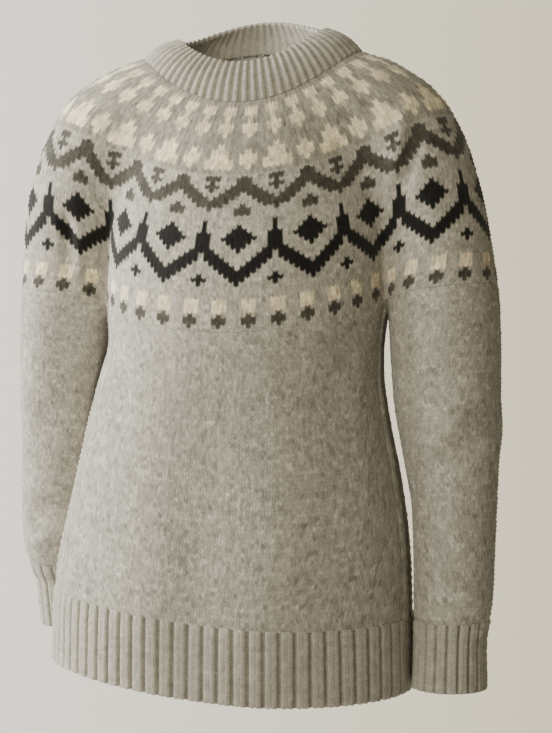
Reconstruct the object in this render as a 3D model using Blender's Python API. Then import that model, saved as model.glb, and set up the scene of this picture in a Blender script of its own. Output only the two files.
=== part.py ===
"""Fair isle pullover with a round yoke, worn and hollow, with nobody in it.

Metres, +Z up. The front faces -Y and the wearer's left is +X. The origin is the
middle of the neck's base, where the shoulders carry the garment.

The cloth is one surface: the joined outside of a torso and two sleeves, each given
by a short table of sections. Every knitted piece is a wall over a stretch of that
surface, and its columns run down the garment as the wales of the knitting do.
"""
import math

import bpy
import numpy as np

# Driving sizes
WALL = 0.003                # plain knit, a thick wool yarn
NECK_WALL = 0.004           # the neckband is knitted firmer
SEAM_GAP = 0.0003           # between two pieces where they are joined
RIB_RISE = 0.0017           # a rib stands this far out of the plain surface
RIB_DIP = 0.0012            # and the furrow beside it lies this far in
WELT_RISE = 0.0014          # the raised side seam
WELT_WIDTH = 0.006

NECK_RIBS = 68
HEM_RIBS = 33               # on each of the two hem pieces
CUFF_RIBS = 20
RIB_SPREAD = {"front": -0.14, "back": 0.0}   # the front ribs open towards the wearer's left
HEM_RIB_DEPTH = 0.072
YOKE_FRONT_COLUMNS = 17
YOKE_SLEEVE_COLUMNS = 17
UNDERARM_COLUMNS = 7

YOKE_ROWS = 12
BODY_ROWS = 13
SLEEVE_ROWS = 18
NECK_ROWS = 4
RIB_ROWS = 2
CUFF_ROWS = (0.0, 0.22, 1.0)         # shares of the cuff: it draws in near its top

NECK_HALF_WIDTH = 0.1145    # outer edge of the neckband's base
NECK_HALF_DEPTH = 0.084
NECK_FRONT_DROP = 0.060     # the base dips this far at the front
NECK_BACK_RISE = 0.022
NECK_TILT = 0.0035          # the wearer's left side of the neck is this much higher
BAND_HALF_WIDTH = 0.0785    # the neckband's upper edge
BAND_HALF_DEPTH = 0.066
BAND_SIDE_HEIGHT = 0.0225
BAND_FRONT_HEIGHT = -0.0175
BAND_BACK_HEIGHT = 0.051
BAND_SWELL = 0.004

YOKE_FRONT_EDGE = -0.292    # height of the yoke's lower edge, front, back and sleeve
YOKE_BACK_EDGE = -0.276
YOKE_SLEEVE_EDGE = -0.241
ARMPIT_HEIGHT = -0.258      # where that edge crosses the fold beside the arm
SIDE_SEAM_FORWARD = math.radians(14)

HEM_HEIGHT = -0.640
HEM_SIDE_TILT = 0.0135      # the hem hangs lower on the wearer's left by this much
HEM_FRONT_SAG = 0.008
FOLD_SOFTNESS = 1.3         # folds are this much broader than their listed widths

# Torso sections: height, half width, depth before and behind, centre, squareness
TORSO_COLUMNS = ("z", "half_width", "front", "back", "x", "y", "power")
TORSO = (
    (0.060, 0.070, 0.040, 0.070, 0.000, 0.000, 2.0),
    (0.000, 0.098, 0.060, 0.083, 0.000, 0.000, 2.0),
    (-0.030, 0.118, 0.071, 0.093, 0.000, 0.000, 2.1),
    (-0.060, 0.129, 0.083, 0.101, 0.000, 0.000, 2.1),
    (-0.100, 0.138, 0.096, 0.108, 0.000, 0.000, 2.2),
    (-0.150, 0.147, 0.109, 0.114, -0.001, 0.000, 2.2),
    (-0.200, 0.150, 0.120, 0.118, -0.002, 0.000, 2.2),
    (-0.250, 0.1480, 0.127, 0.118, -0.004, 0.000, 2.2),
    (-0.303, 0.1427, 0.128, 0.115, -0.007, 0.000, 2.2),
    (-0.340, 0.1490, 0.126, 0.114, -0.013, 0.000, 2.2),
    (-0.382, 0.1580, 0.126, 0.118, -0.0155, 0.000, 2.2),
    (-0.434, 0.1690, 0.129, 0.125, -0.016, 0.000, 2.2),
    (-0.487, 0.1790, 0.135, 0.133, -0.018, 0.000, 2.2),
    (-0.529, 0.1855, 0.140, 0.139, -0.021, 0.000, 2.2),
    (-0.571, 0.1875, 0.143, 0.142, -0.022, 0.000, 2.2),
    (-0.618, 0.1880, 0.144, 0.143, -0.022, 0.000, 2.2),
    (-0.700, 0.1890, 0.145, 0.144, -0.022, 0.000, 2.2),
)

# Sleeves from the neck to below the cuff: centre and radius of each section
SLEEVE_COLUMNS = ("x", "y", "z", "radius")
LEFT_SLEEVE = (
    (0.000, 0.006, -0.076, 0.062),
    (0.060, 0.006, -0.067, 0.068),
    (0.110, 0.004, -0.070, 0.0715),
    (0.143, 0.001, -0.089, 0.0690),
    (0.163, -0.004, -0.121, 0.0650),
    (0.180, -0.009, -0.165, 0.0605),
    (0.1905, -0.014, -0.205, 0.0570),
    (0.1990, -0.018, -0.258, 0.0565),
    (0.2010, -0.020, -0.309, 0.0560),
    (0.2025, -0.020, -0.360, 0.0540),
    (0.2065, -0.020, -0.411, 0.0485),
    (0.2100, -0.022, -0.461, 0.0430),
    (0.2095, -0.025, -0.512, 0.0412),
    (0.2085, -0.028, -0.556, 0.0404),
    (0.2070, -0.029, -0.573, 0.0394),
    (0.2060, -0.030, -0.586, 0.0358),
    (0.2055, -0.031, -0.604, 0.0350),
    (0.2045, -0.033, -0.648, 0.0368),
    (0.2040, -0.034, -0.700, 0.0372),
)
RIGHT_SLEEVE = (
    (0.000, 0.006, -0.076, 0.062),
    (-0.060, 0.006, -0.067, 0.068),
    (-0.110, 0.005, -0.070, 0.0715),
    (-0.147, 0.006, -0.087, 0.0700),
    (-0.167, 0.008, -0.119, 0.0670),
    (-0.182, 0.011, -0.152, 0.0640),
    (-0.1930, 0.016, -0.197, 0.0595),
    (-0.1995, 0.021, -0.254, 0.0580),
    (-0.2050, 0.030, -0.308, 0.0565),
    (-0.2090, 0.042, -0.362, 0.0555),
    (-0.2150, 0.055, -0.417, 0.0525),
    (-0.2225, 0.065, -0.473, 0.0490),
    (-0.2275, 0.074, -0.514, 0.0455),
    (-0.2265, 0.079, -0.533, 0.0425),
    (-0.2230, 0.082, -0.547, 0.0375),
    (-0.2210, 0.085, -0.582, 0.0362),
    (-0.2180, 0.089, -0.614, 0.0372),
    (-0.2150, 0.094, -0.670, 0.0378),
)
CUFF_SPAN = {1: (-0.5815, -0.648), -1: (-0.5465, -0.6135)}   # a cuff's top and bottom

# Soft folds: side they lie on, middle, direction, half length, half width and rise
FOLD_COLUMNS = ("x", "y", "z", "dx", "dy", "dz", "reach", "width", "rise")
FOLDS = (
    (0.205, -0.075, -0.385, 0.75, -0.2, 0.45, 0.045, 0.011, 0.0042),
    (0.215, -0.070, -0.412, 0.80, -0.2, 0.35, 0.040, 0.010, -0.0036),
    (0.195, -0.072, -0.345, 0.60, -0.2, 0.65, 0.045, 0.013, -0.0030),
    (0.250, -0.030, -0.395, 0.10, 0.60, 0.50, 0.040, 0.012, 0.0034),
    (0.215, 0.030, -0.400, 0.75, 0.2, -0.45, 0.045, 0.013, -0.0036),
    (0.178, -0.062, -0.215, 0.20, 0.0, 0.98, 0.060, 0.010, 0.0030),
    (-0.1885, -0.044, -0.200, 0.00, 0.1, 1.00, 0.080, 0.006, -0.0080),
    (-0.1790, -0.044, -0.235, 0.00, 0.1, 1.00, 0.085, 0.009, 0.0040),
    (-0.2050, -0.040, -0.335, 0.10, 0.3, 1.00, 0.060, 0.014, -0.0040),
    (-0.220, -0.012, -0.380, 0.60, 0.2, 0.70, 0.050, 0.014, -0.0036),
    (-0.235, 0.010, -0.350, 0.70, 0.2, 0.60, 0.045, 0.012, 0.0032),
    (-0.240, 0.022, -0.485, 0.80, 0.1, 0.45, 0.040, 0.012, -0.0046),
    (-0.232, 0.028, -0.515, 0.90, 0.1, 0.20, 0.038, 0.010, 0.0036),
    (-0.250, 0.110, -0.420, 0.50, 0.3, 0.60, 0.050, 0.014, -0.0036),
    (-0.085, -0.120, -0.500, -0.10, 0.0, 1.00, 0.140, 0.026, 0.0030),
    (-0.035, -0.140, -0.540, 0.05, 0.0, 1.00, 0.130, 0.022, -0.0030),
    (0.040, -0.140, -0.520, 0.06, 0.0, 1.00, 0.150, 0.026, 0.0028),
    (0.105, -0.100, -0.470, 0.15, 0.0, 1.00, 0.140, 0.024, -0.0030),
    (-0.115, -0.085, -0.345, -0.35, 0.0, 1.00, 0.070, 0.016, -0.0030),
    (0.100, -0.090, -0.330, 0.45, 0.0, 1.00, 0.070, 0.016, -0.0030),
    (0.070, 0.125, -0.430, 0.15, 0.0, 1.00, 0.150, 0.026, -0.0034),
    (0.010, 0.130, -0.500, 0.00, 0.0, 1.00, 0.140, 0.026, 0.0030),
    (-0.075, 0.125, -0.460, -0.12, 0.0, 1.00, 0.150, 0.026, -0.0034),
    (0.055, 0.112, -0.330, 0.85, 0.0, 0.30, 0.070, 0.016, 0.0026),
    (-0.060, 0.112, -0.350, 0.85, 0.0, -0.30, 0.070, 0.016, 0.0026),
)


def column(table, names, name):
    """One named column of a table as an array."""
    return np.array([row[names.index(name)] for row in table])


def softened(heights, values, steps, reach):
    """The table's straight runs between heights, averaged over a window of that reach."""
    order = np.argsort(heights)
    raw = np.interp(steps, heights[order], values[order])
    half = int(round(reach / (steps[1] - steps[0])))
    window = np.hanning(2 * half + 3)
    padded = np.pad(raw, half + 1, mode="edge")
    return np.convolve(padded, window / window.sum(), mode="valid")


TORSO_STEPS = np.linspace(-0.72, 0.08, 801)
TORSO_LANES = {
    name: softened(column(TORSO, TORSO_COLUMNS, "z"), column(TORSO, TORSO_COLUMNS, name),
                   TORSO_STEPS, 0.02)
    for name in TORSO_COLUMNS[1:]
}


def torso_lane(name, z):
    """A torso size at height z."""
    return np.interp(z, TORSO_STEPS, TORSO_LANES[name])


def sleeve_path(table):
    """The sleeve's centre line and radius at even steps, with its corners eased."""
    rows = np.array(table)
    length = np.concatenate([[0.0], np.cumsum(np.linalg.norm(np.diff(rows[:, :3], axis=0), axis=1))])
    steps = np.linspace(0.0, length[-1], 181)
    lanes = [softened(length, rows[:, i], steps, 0.014) for i in range(4)]
    return np.stack(lanes, axis=1)[::3]


SLEEVE_PATHS = {1: sleeve_path(LEFT_SLEEVE), -1: sleeve_path(RIGHT_SLEEVE)}


def smooth_min(a, b, width):
    """The lesser of two distances, rounded over a width where they are nearly equal."""
    near = np.clip(width - np.abs(a - b), 0.0, None) / width
    return np.minimum(a, b) - near * near * width / 4


def ramp(low, high, value):
    """0 below low, 1 above high, and an even S between."""
    t = np.clip((value - low) / (high - low), 0.0, 1.0)
    return t * t * (3 - 2 * t)


def torso_radius(angle, z):
    """Distance from the torso's centre to its section, angle 0 in front, + towards +X."""
    side = np.abs(np.sin(angle)) / torso_lane("half_width", z)
    depth = np.where(np.cos(angle) > 0, torso_lane("front", z), torso_lane("back", z))
    along = np.abs(np.cos(angle)) / depth
    power = torso_lane("power", z)
    return (side ** power + along ** power) ** (-1 / power)


def torso_distance(p):
    """Outwards from the torso's sections, closed above by a plane that leans forward."""
    z = p[..., 2]
    dx = p[..., 0] - torso_lane("x", z)
    dy = p[..., 1] - torso_lane("y", z)
    sideways = np.hypot(dx, dy) - torso_radius(np.arctan2(dx, -dy), z)
    above = (z + 0.002 - 0.46 * p[..., 1]) * 0.908
    return -smooth_min(-sideways, -above, 0.03)


def sleeve_distance(p, side):
    """Outwards from the nearest ball along the sleeve's centre line."""
    path = SLEEVE_PATHS[side]
    best = np.full(p.shape[:-1], 1.0)
    for start, end in zip(path[:-1], path[1:]):
        run = end[:3] - start[:3]
        t = np.clip(((p - start[:3]) @ run) / (run @ run), 0.0, 1.0)
        offset = p - start[:3] - t[..., None] * run
        gap = np.sqrt((offset * offset).sum(-1)) - (start[3] + t * (end[3] - start[3]))
        best = np.minimum(best, gap)
    return best


def room_between(z):
    """Least room between sleeve and torso: none above the armpit, a few mm below."""
    return -0.06 + 0.066 * ramp(-0.225, -0.310, z)


def blend_width(z):
    """How softly sleeve and torso run together: broad on the shoulder, crisp below."""
    return (0.0008 + 0.0052 * ramp(-0.335, -0.300, z) + 0.003 * ramp(-0.300, -0.250, z)
            + 0.022 * ramp(-0.200, -0.100, z))


def fold_rise(p):
    """Sum of long soft ridges and troughs, each fading along and across its line."""
    total = np.zeros(p.shape[:-1])
    for row in FOLDS:
        fold = dict(zip(FOLD_COLUMNS, row))
        line = np.array([fold["dx"], fold["dy"], fold["dz"]])
        line = line / np.linalg.norm(line)
        offset = p - np.array([fold["x"], fold["y"], fold["z"]])
        along = offset @ line
        across = np.sqrt(np.clip((offset * offset).sum(-1) - along * along, 0.0, None))
        total += fold["rise"] * np.exp(-(along / fold["reach"]) ** 2 - (across / (fold["width"] * FOLD_SOFTNESS)) ** 2)
    return total


def pressed_sleeve(p, side, torso):
    """The sleeve's distance, with its inner side pressed flat where the body is close."""
    return -smooth_min(-sleeve_distance(p, side), torso - room_between(p[..., 2]), 0.006)


def cloth(p):
    """Below 0 inside the garment, 0 on the cloth and above 0 outside it."""
    torso = torso_distance(p)
    width = blend_width(p[..., 2])
    joined = torso
    for side in (1, -1):
        joined = smooth_min(joined, pressed_sleeve(p, side, torso), width)
    return joined - fold_rise(p)


def nearer_torso(p, side):
    """Below 0 where the torso is nearer than the sleeve, 0 along the armpit fold."""
    torso = torso_distance(p)
    return torso - pressed_sleeve(p, side, torso)


def slope_of(field, p):
    """How fast a field grows along each axis."""
    step = 0.0004
    return np.stack([field(p + step * axis) - field(p - step * axis) for axis in np.eye(3)],
                    axis=-1) / (2 * step)


def outward(p):
    """Unit direction straight out of the cloth."""
    slope = slope_of(cloth, p)
    return slope / np.linalg.norm(slope, axis=-1, keepdims=True)


def settle(p, rounds=6):
    """Points moved along the slope until they lie on the cloth."""
    for _ in range(rounds):
        p = p - np.clip(cloth(p), -0.01, 0.01)[..., None] * outward(p)
    return p


def settle_in_fold(p, side, rounds=5):
    """Points moved the shortest way onto the cloth where it dips beside the sleeve."""
    for _ in range(rounds):
        values = np.stack([cloth(p), nearer_torso(p, side)], axis=-1)
        slopes = np.stack([slope_of(cloth, p), slope_of(lambda q: nearer_torso(q, side), p)], axis=-2)
        square = slopes @ slopes.swapaxes(-1, -2) + 1e-6 * np.eye(2)
        step = (slopes.swapaxes(-1, -2) @ np.linalg.solve(square, values[..., None]))[..., 0]
        p = p - np.clip(step, -0.01, 0.01)
    return p


def first_crossing(start, direction, reach, steps=90):
    """First place along each ray where the cloth is passed from inside to outside."""
    t = np.linspace(0.0, reach, steps)
    samples = start[..., None, :] + t[:, None] * direction[..., None, :]
    values = cloth(samples)
    outside = (values[..., 1:] > 0) & (values[..., :-1] <= 0)
    found = outside.any(-1)
    index = np.where(found, outside.argmax(-1), values.argmax(-1).clip(0, steps - 2))
    before = np.take_along_axis(values, index[..., None], -1)[..., 0]
    after = np.take_along_axis(values, index[..., None] + 1, -1)[..., 0]
    part = np.where(found, before / np.where(found, before - after, 1.0), 0.0)
    distance = t[index] + part * (t[1] - t[0])
    return start + distance[..., None] * direction


def torso_point(angle, z):
    """The body panel's surface at an angle round the torso and a height."""
    angle, z = np.broadcast_arrays(angle, z)
    direction = np.stack([np.sin(angle), -np.cos(angle), np.zeros_like(z)], axis=-1)
    centre = np.stack([torso_lane("x", z), torso_lane("y", z), z], axis=-1)
    inside = torso_radius(angle, z) - 0.018
    return first_crossing(centre + inside[..., None] * direction, direction, 0.04)


def sleeve_centre(side, z):
    """Centre and radius of the sleeve at a height below the shoulder."""
    path = SLEEVE_PATHS[side]
    hanging = path[path[:, 2] < -0.16][::-1]
    return np.stack([np.interp(z, hanging[:, 2], hanging[:, i]) for i in range(4)], axis=-1)


def sleeve_point(side, angle, z):
    """The sleeve's surface at an angle round its centre (0 in front, + towards +X)."""
    angle, z = np.broadcast_arrays(angle, z)
    direction = np.stack([np.sin(angle), -np.cos(angle), np.zeros_like(z)], axis=-1)
    section = sleeve_centre(side, z)
    centre = np.stack([section[..., 0], section[..., 1], z], axis=-1)
    inside = section[..., 3] * 0.35
    return first_crossing(centre + inside[..., None] * direction, direction, 0.075, 150)


def fold_line_height(side, angle):
    """Height at which torso and sleeve are equally near, at an angle round the torso."""
    low = np.full(angle.shape, -0.330)
    high = np.full(angle.shape, -0.200)
    for _ in range(40):
        z = (low + high) / 2
        radius = torso_radius(angle, z) + blend_width(z) / 4
        p = np.stack([torso_lane("x", z) + radius * np.sin(angle),
                      torso_lane("y", z) - radius * np.cos(angle), z], axis=-1)
        torso = torso_distance(p)
        apart = pressed_sleeve(p, side, torso) > torso
        low = np.where(apart, z, low)
        high = np.where(apart, high, z)
    return (low + high) / 2


def armpit_angles(side):
    """Angles round the torso where the yoke's edge meets the folds before and behind."""
    found = []
    for middle, reach in ((math.radians(88), -1), (math.radians(88), 1)):
        near, far = middle, middle + reach * math.radians(50)
        for _ in range(40):
            trial = (near + far) / 2
            if fold_line_height(side, np.array([side * trial]))[0] < ARMPIT_HEIGHT:
                near = trial
            else:
                far = trial
        found.append(side * (near + far) / 2)
    return found


def underarm(side):
    """The grafted seam under the arm, from its front end to its back end."""
    front, back = armpit_angles(side)
    angle = front + (back - front) * (1 - np.cos(np.linspace(0.0, math.pi, 81))) / 2
    z = fold_line_height(side, angle)
    z[0] = z[-1] = ARMPIT_HEIGHT
    radius = torso_radius(angle, z) + blend_width(z) / 4
    points = np.stack([torso_lane("x", z) + radius * np.sin(angle),
                       torso_lane("y", z) - radius * np.cos(angle), z], axis=-1)
    points = settle(even(points, UNDERARM_COLUMNS + 1))
    return np.unwrap(angle_round(points)), points


def even(points, count):
    """The same curve with points at even lengths along it."""
    length = np.concatenate([[0.0], np.cumsum(np.linalg.norm(np.diff(points, axis=0), axis=1))])
    steps = np.linspace(0.0, length[-1], count)
    return np.stack([np.interp(steps, length, points[:, i]) for i in range(3)], axis=1)


def torso_edge(from_angle, to_angle, middle_height, count):
    """The yoke's lower edge over the chest or the back, dipping in the middle."""
    angle = np.linspace(from_angle, to_angle, 121)
    share = np.linspace(-1.0, 1.0, 121)
    z = ARMPIT_HEIGHT + (middle_height - ARMPIT_HEIGHT) * (1 - share ** 2) ** 1.2
    return even(torso_point(angle, z), count)


def sleeve_edge(side, start, end, count):
    """The yoke's lower edge round the outside of a sleeve, rising in the middle."""
    first = np.append(start[:2] - sleeve_centre(side, start[2])[:2], 0)
    last = np.append(end[:2] - sleeve_centre(side, end[2])[:2], 0)
    a = math.atan2(first[0], -first[1])
    b = math.atan2(last[0], -last[1])
    if side > 0:
        b = b % (2 * math.pi)
        a = a if a < b else a - 2 * math.pi
    else:
        b = b % (2 * math.pi) - 2 * math.pi
        a = a if a > b else a + 2 * math.pi
    angle = np.linspace(a, b, 121)
    share = np.linspace(-1.0, 1.0, 121)
    z = ARMPIT_HEIGHT + (YOKE_SLEEVE_EDGE - ARMPIT_HEIGHT) * (1 - share ** 2)
    points = sleeve_point(side, angle, z)
    points[0] = start
    points[-1] = end
    return even(points, count)


def yoke_lower_edge():
    """The closed lower edge, from the centre front by the left sleeve to the back."""
    left_angle, left = underarm(1)
    right_angle, right = underarm(-1)
    front = torso_edge(right_angle[0], left_angle[0], YOKE_FRONT_EDGE, YOKE_FRONT_COLUMNS + 1)
    back = torso_edge(left_angle[-1], right_angle[-1] % (2 * math.pi), YOKE_BACK_EDGE,
                      YOKE_FRONT_COLUMNS + 1)
    front[0], front[-1] = right[0], left[0]
    back[0], back[-1] = left[-1], right[-1]
    over_left = sleeve_edge(1, left[0], left[-1], YOKE_SLEEVE_COLUMNS + 1)
    over_right = sleeve_edge(-1, right[0], right[-1], YOKE_SLEEVE_COLUMNS + 1)[::-1]
    edges = {"front": front, "over_left": over_left, "back": back, "over_right": over_right}
    ring = np.concatenate([edge[:-1] for edge in edges.values()])
    return edges, ring, {1: (left_angle, left), -1: (right_angle, right)}


def neck_outline(angle, half_width, half_depth, front, side, back):
    """An oval that dips in front: its height follows the cosine of the angle."""
    x = half_width * np.sin(angle)
    y = -half_depth * np.cos(angle)
    c = np.cos(angle)
    z = side * (1 - c * c) + np.where(c > 0, front, back) * c * c
    z = z + NECK_TILT * np.sin(angle)
    return np.stack([x, y, z], axis=-1)


def neck_edges(count, first_angle):
    """The neckband's base on the cloth, and its upper edge, as closed rings."""
    fine = np.linspace(first_angle, first_angle + 2 * math.pi, 721)
    base = neck_outline(fine, NECK_HALF_WIDTH, NECK_HALF_DEPTH, -NECK_FRONT_DROP, 0.0, NECK_BACK_RISE)
    base = settle(base, 12)
    base[-1] = base[0]
    base = even(base, count + 1)[:-1]
    base[1::2] = (base[::2] + np.roll(base[::2], -1, 0)) / 2
    angle = np.arctan2(base[:, 0] / NECK_HALF_WIDTH, -base[:, 1] / NECK_HALF_DEPTH)
    top = neck_outline(angle, BAND_HALF_WIDTH, BAND_HALF_DEPTH, BAND_FRONT_HEIGHT, BAND_SIDE_HEIGHT,
                       BAND_BACK_HEIGHT)
    return base, top


def relaxed_grid(upper, lower, rows, rounds=96):
    """Rows from the upper ring to the lower one, eased apart evenly over the cloth."""
    t = np.linspace(0.0, 1.0, rows + 1)[None, :, None]
    middle = (upper + lower) / 2
    middle = middle + np.array([0.0, 0.0, 0.10])
    grid = upper[:, None] * (1 - t) ** 2 + 2 * middle[:, None] * t * (1 - t) + lower[:, None] * t ** 2
    grid[:, 1:-1] = settle(grid[:, 1:-1], 12)
    for turn in range(rounds):
        across = (np.roll(grid, 1, 0) + np.roll(grid, -1, 0))[:, 1:-1] / 2
        along = (grid[:, :-2] + grid[:, 2:]) / 2
        grid[:, 1:-1] += 0.7 * (0.65 * along + 0.35 * across - grid[:, 1:-1])
        if turn % 8 == 7:
            for index, side in fold_columns():
                inner = grid[index, 1:-1]
                hold = ramp(-0.140, -0.185, inner[:, 2])[:, None]
                grid[index, 1:-1] = inner + hold * (settle_in_fold(inner, side) - inner)
            grid[:, 1:-1] = settle(grid[:, 1:-1], 2)
    return grid


def fold_columns():
    """The yoke's columns that run down the four armpit folds, and each one's side."""
    over = YOKE_FRONT_COLUMNS + YOKE_SLEEVE_COLUMNS
    return (0, -1), (YOKE_FRONT_COLUMNS, 1), (over, 1), (over + YOKE_FRONT_COLUMNS, -1)


def drawn_back(grid, normal, closed):
    """First and last rows moved half a seam gap back along the cloth, square to the seam."""
    grid = grid.copy()
    for edge, inner in ((0, 1), (-1, -2)):
        line = grid[:, edge]
        seam = np.roll(line, -1, 0) - np.roll(line, 1, 0) if closed else np.gradient(line, axis=0)
        back = np.cross(seam, normal[:, edge])
        back = back / np.linalg.norm(back, axis=-1, keepdims=True)
        way = np.sign(np.median((back * (grid[:, inner] - line)).sum(-1)))
        grid[:, edge] = line + way * back * SEAM_GAP / 2
    return grid


def drawn_in(grid, normal):
    """First and last columns moved half a seam gap back from the side seams."""
    return drawn_back(grid.swapaxes(0, 1), normal.swapaxes(0, 1), False).swapaxes(0, 1)


def band_lean(grid):
    """Outward directions of a closed grid whose rows run upwards."""
    across = np.roll(grid, -1, 0) - np.roll(grid, 1, 0)
    normal = np.cross(across, np.gradient(grid, axis=1))
    return normal / np.linalg.norm(normal, axis=-1, keepdims=True)


def wall(name, outer, inner, closed):
    """A closed wall between two grids whose columns run the same way round."""
    columns, rows = outer.shape[:2]
    points = np.concatenate([outer.reshape(-1, 3), inner.reshape(-1, 3)])
    index = np.arange(columns * rows).reshape(columns, rows)
    inside = index + columns * rows
    after = np.roll(index, -1, 0) if closed else index[1:]
    after_inside = np.roll(inside, -1, 0) if closed else inside[1:]
    here = index if closed else index[:-1]
    here_inside = inside if closed else inside[:-1]
    quads = [np.stack([here[:, :-1], here[:, 1:], after[:, 1:], after[:, :-1]], -1).reshape(-1, 4),
             np.stack([here_inside[:, :-1], after_inside[:, :-1], after_inside[:, 1:],
                       here_inside[:, 1:]], -1).reshape(-1, 4)]
    rims = [rim(points, here[:, 0], after[:, 0], after_inside[:, 0], here_inside[:, 0]),
            rim(points, after[:, -1], here[:, -1], here_inside[:, -1], after_inside[:, -1])]
    if not closed:
        rims.append(rim(points, index[0, 1:], index[0, :-1], inside[0, :-1], inside[0, 1:]))
        rims.append(rim(points, index[-1, :-1], index[-1, 1:], inside[-1, 1:], inside[-1, :-1]))
    mesh = bpy.data.meshes.new(name)
    mesh.from_pydata(points.tolist(), [], np.concatenate(quads).tolist() + np.concatenate(rims).tolist())
    mesh.validate()
    mesh.shade_smooth()
    mesh.set_sharp_from_angle(angle=math.radians(50))
    piece = bpy.data.objects.new(name, mesh)
    GARMENT.objects.link(piece)
    mesh.materials.append(knit_material(name))
    return piece


def rim(points, first, second, second_inside, first_inside):
    """Triangles across the wall's edge, split from the lower outer corner on both pieces."""
    lower = (points[first, 2] < points[second, 2])[:, None]
    from_first = np.stack([first, second, second_inside, first, second_inside, first_inside], -1)
    from_second = np.stack([first, second, first_inside, second, second_inside, first_inside], -1)
    return np.where(lower, from_first, from_second).reshape(-1, 3)


def knit_material(name):
    """Matt wool in the piece's main colour."""
    colour = (0.20, 0.19, 0.17) if name == "yoke" else (0.46, 0.44, 0.40)
    material = bpy.data.materials.new(name + "_wool")
    material.use_nodes = True
    shader = material.node_tree.nodes["Principled BSDF"]
    shader.inputs["Base Color"].default_value = (*colour, 1.0)
    shader.inputs["Roughness"].default_value = 0.92
    shader.inputs["Metallic"].default_value = 0.0
    return material


def with_welts(tops, ease):
    """The panel's top points with one more beside each end, where the welt dies out."""
    first = tops[0] + (tops[1] - tops[0]) * WELT_WIDTH / np.linalg.norm(tops[1] - tops[0])
    last = tops[-1] + (tops[-2] - tops[-1]) * WELT_WIDTH / np.linalg.norm(tops[-2] - tops[-1])
    tops = np.concatenate([tops[:1], [first], tops[1:-1], [last], tops[-1:]])
    return tops, np.concatenate([ease[:1], ease[:1], ease[1:-1], ease[-1:], ease[-1:]])


def body_grid(angles, tops, ease):
    """Body panel columns: from the yoke or the underarm seam down to the hem rib."""
    spread = angles.copy()
    spread[2:-2] = np.linspace(angles[1], angles[-2], len(angles) - 2)[1:-1]
    bottom = hem_height(spread) + HEM_RIB_DEPTH
    t = np.linspace(0.0, 1.0, BODY_ROWS + 1)
    share = t[None, :] + ease[:, None] * (t ** 2 - t)[None, :]
    z = tops[:, None, 2] + (bottom - tops[:, 2])[:, None] * share
    turned = ramp(0.0, 0.4, t)[None, :]
    grid = torso_point(angles[:, None] * (1 - turned) + spread[:, None] * turned, z)
    grid[:, 0] = tops
    return grid


def hem_height(angle):
    """The hem's lower edge: lower on the wearer's left and in the middle of the front."""
    return HEM_HEIGHT - HEM_SIDE_TILT * np.sin(angle) - HEM_FRONT_SAG * np.clip(np.cos(angle), 0, 1) ** 2


def angle_round(points):
    """Angle of each point round the torso's centre at its own height."""
    z = points[..., 2]
    return np.arctan2(points[..., 0] - torso_lane("x", z), -(points[..., 1] - torso_lane("y", z)))


def seam_split(angle, points, side):
    """The underarm seam cut where the side seam meets it: front part and back part."""
    middle = side * (math.pi / 2 - SIDE_SEAM_FORWARD)
    middle = min(max(abs(middle), abs(angle[1])), abs(angle[-2])) * side
    cut = int(np.argmin(np.abs(angle - middle)))
    return points[:cut + 1], points[cut:]


def build():
    """All ten knitted pieces."""
    edges, ring, underarms = yoke_lower_edge()
    base, top = neck_edges(NECK_RIBS * 2, -math.pi * 0.5)
    start = 2 * int(np.argmin(np.abs(np.arctan2(base[::2, 0], -base[::2, 1])
                                     - math.radians(-360 * (YOKE_FRONT_COLUMNS / 2) / NECK_RIBS))))
    base, top = np.roll(base, -start, 0), np.roll(top, -start, 0)
    yoke = relaxed_grid(base[::2], ring, YOKE_ROWS)
    band = band_grid(base, top)
    make_yoke(yoke, band)
    make_neckband(band)
    make_body(edges, underarms)
    for side, over, name in ((1, "over_left", "left"), (-1, "over_right", "right")):
        make_sleeve(side, edges[over], underarms[side], name)


def band_grid(base, top):
    """The neckband's middle surface: it leans in and swells a little on the way."""
    t = np.linspace(0.0, 1.0, NECK_ROWS + 1)[None, :, None]
    grid = base[:, None] * (1 - t) + top[:, None] * t
    return grid + band_lean(grid) * BAND_SWELL * np.sin(math.pi * t)


def band_normals(band):
    """Outward directions on the neckband, shared with the yoke along their seam."""
    normal = band_lean(band)
    shared = normal[:, 0] + outward(band[:, 0])
    normal[:, 0] = shared / np.linalg.norm(shared, axis=-1, keepdims=True)
    return normal


def make_yoke(grid, band):
    """The patterned ring from the neck to the underarms."""
    normal = outward(grid)
    normal[:, 0] = band_normals(band)[::2, 0]
    grid = drawn_back(grid, normal, True)
    wall("yoke", grid, grid - WALL * normal, True)


def make_neckband(band):
    """A ribbed tube, one ridge and one furrow by turns."""
    normal = band_normals(band)
    grid = drawn_back(band, normal, True)
    rise = np.where(np.arange(len(band)) % 2 == 0, -RIB_DIP * 0.5, RIB_RISE * 0.7)
    fade = np.array([0.0] + [1.0] * NECK_ROWS)
    outer = grid + normal * rise[:, None, None] * fade[None, :, None]
    inner = grid - normal * NECK_WALL
    wall("neckband", outer[:, ::-1], inner[:, ::-1], True)


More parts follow.
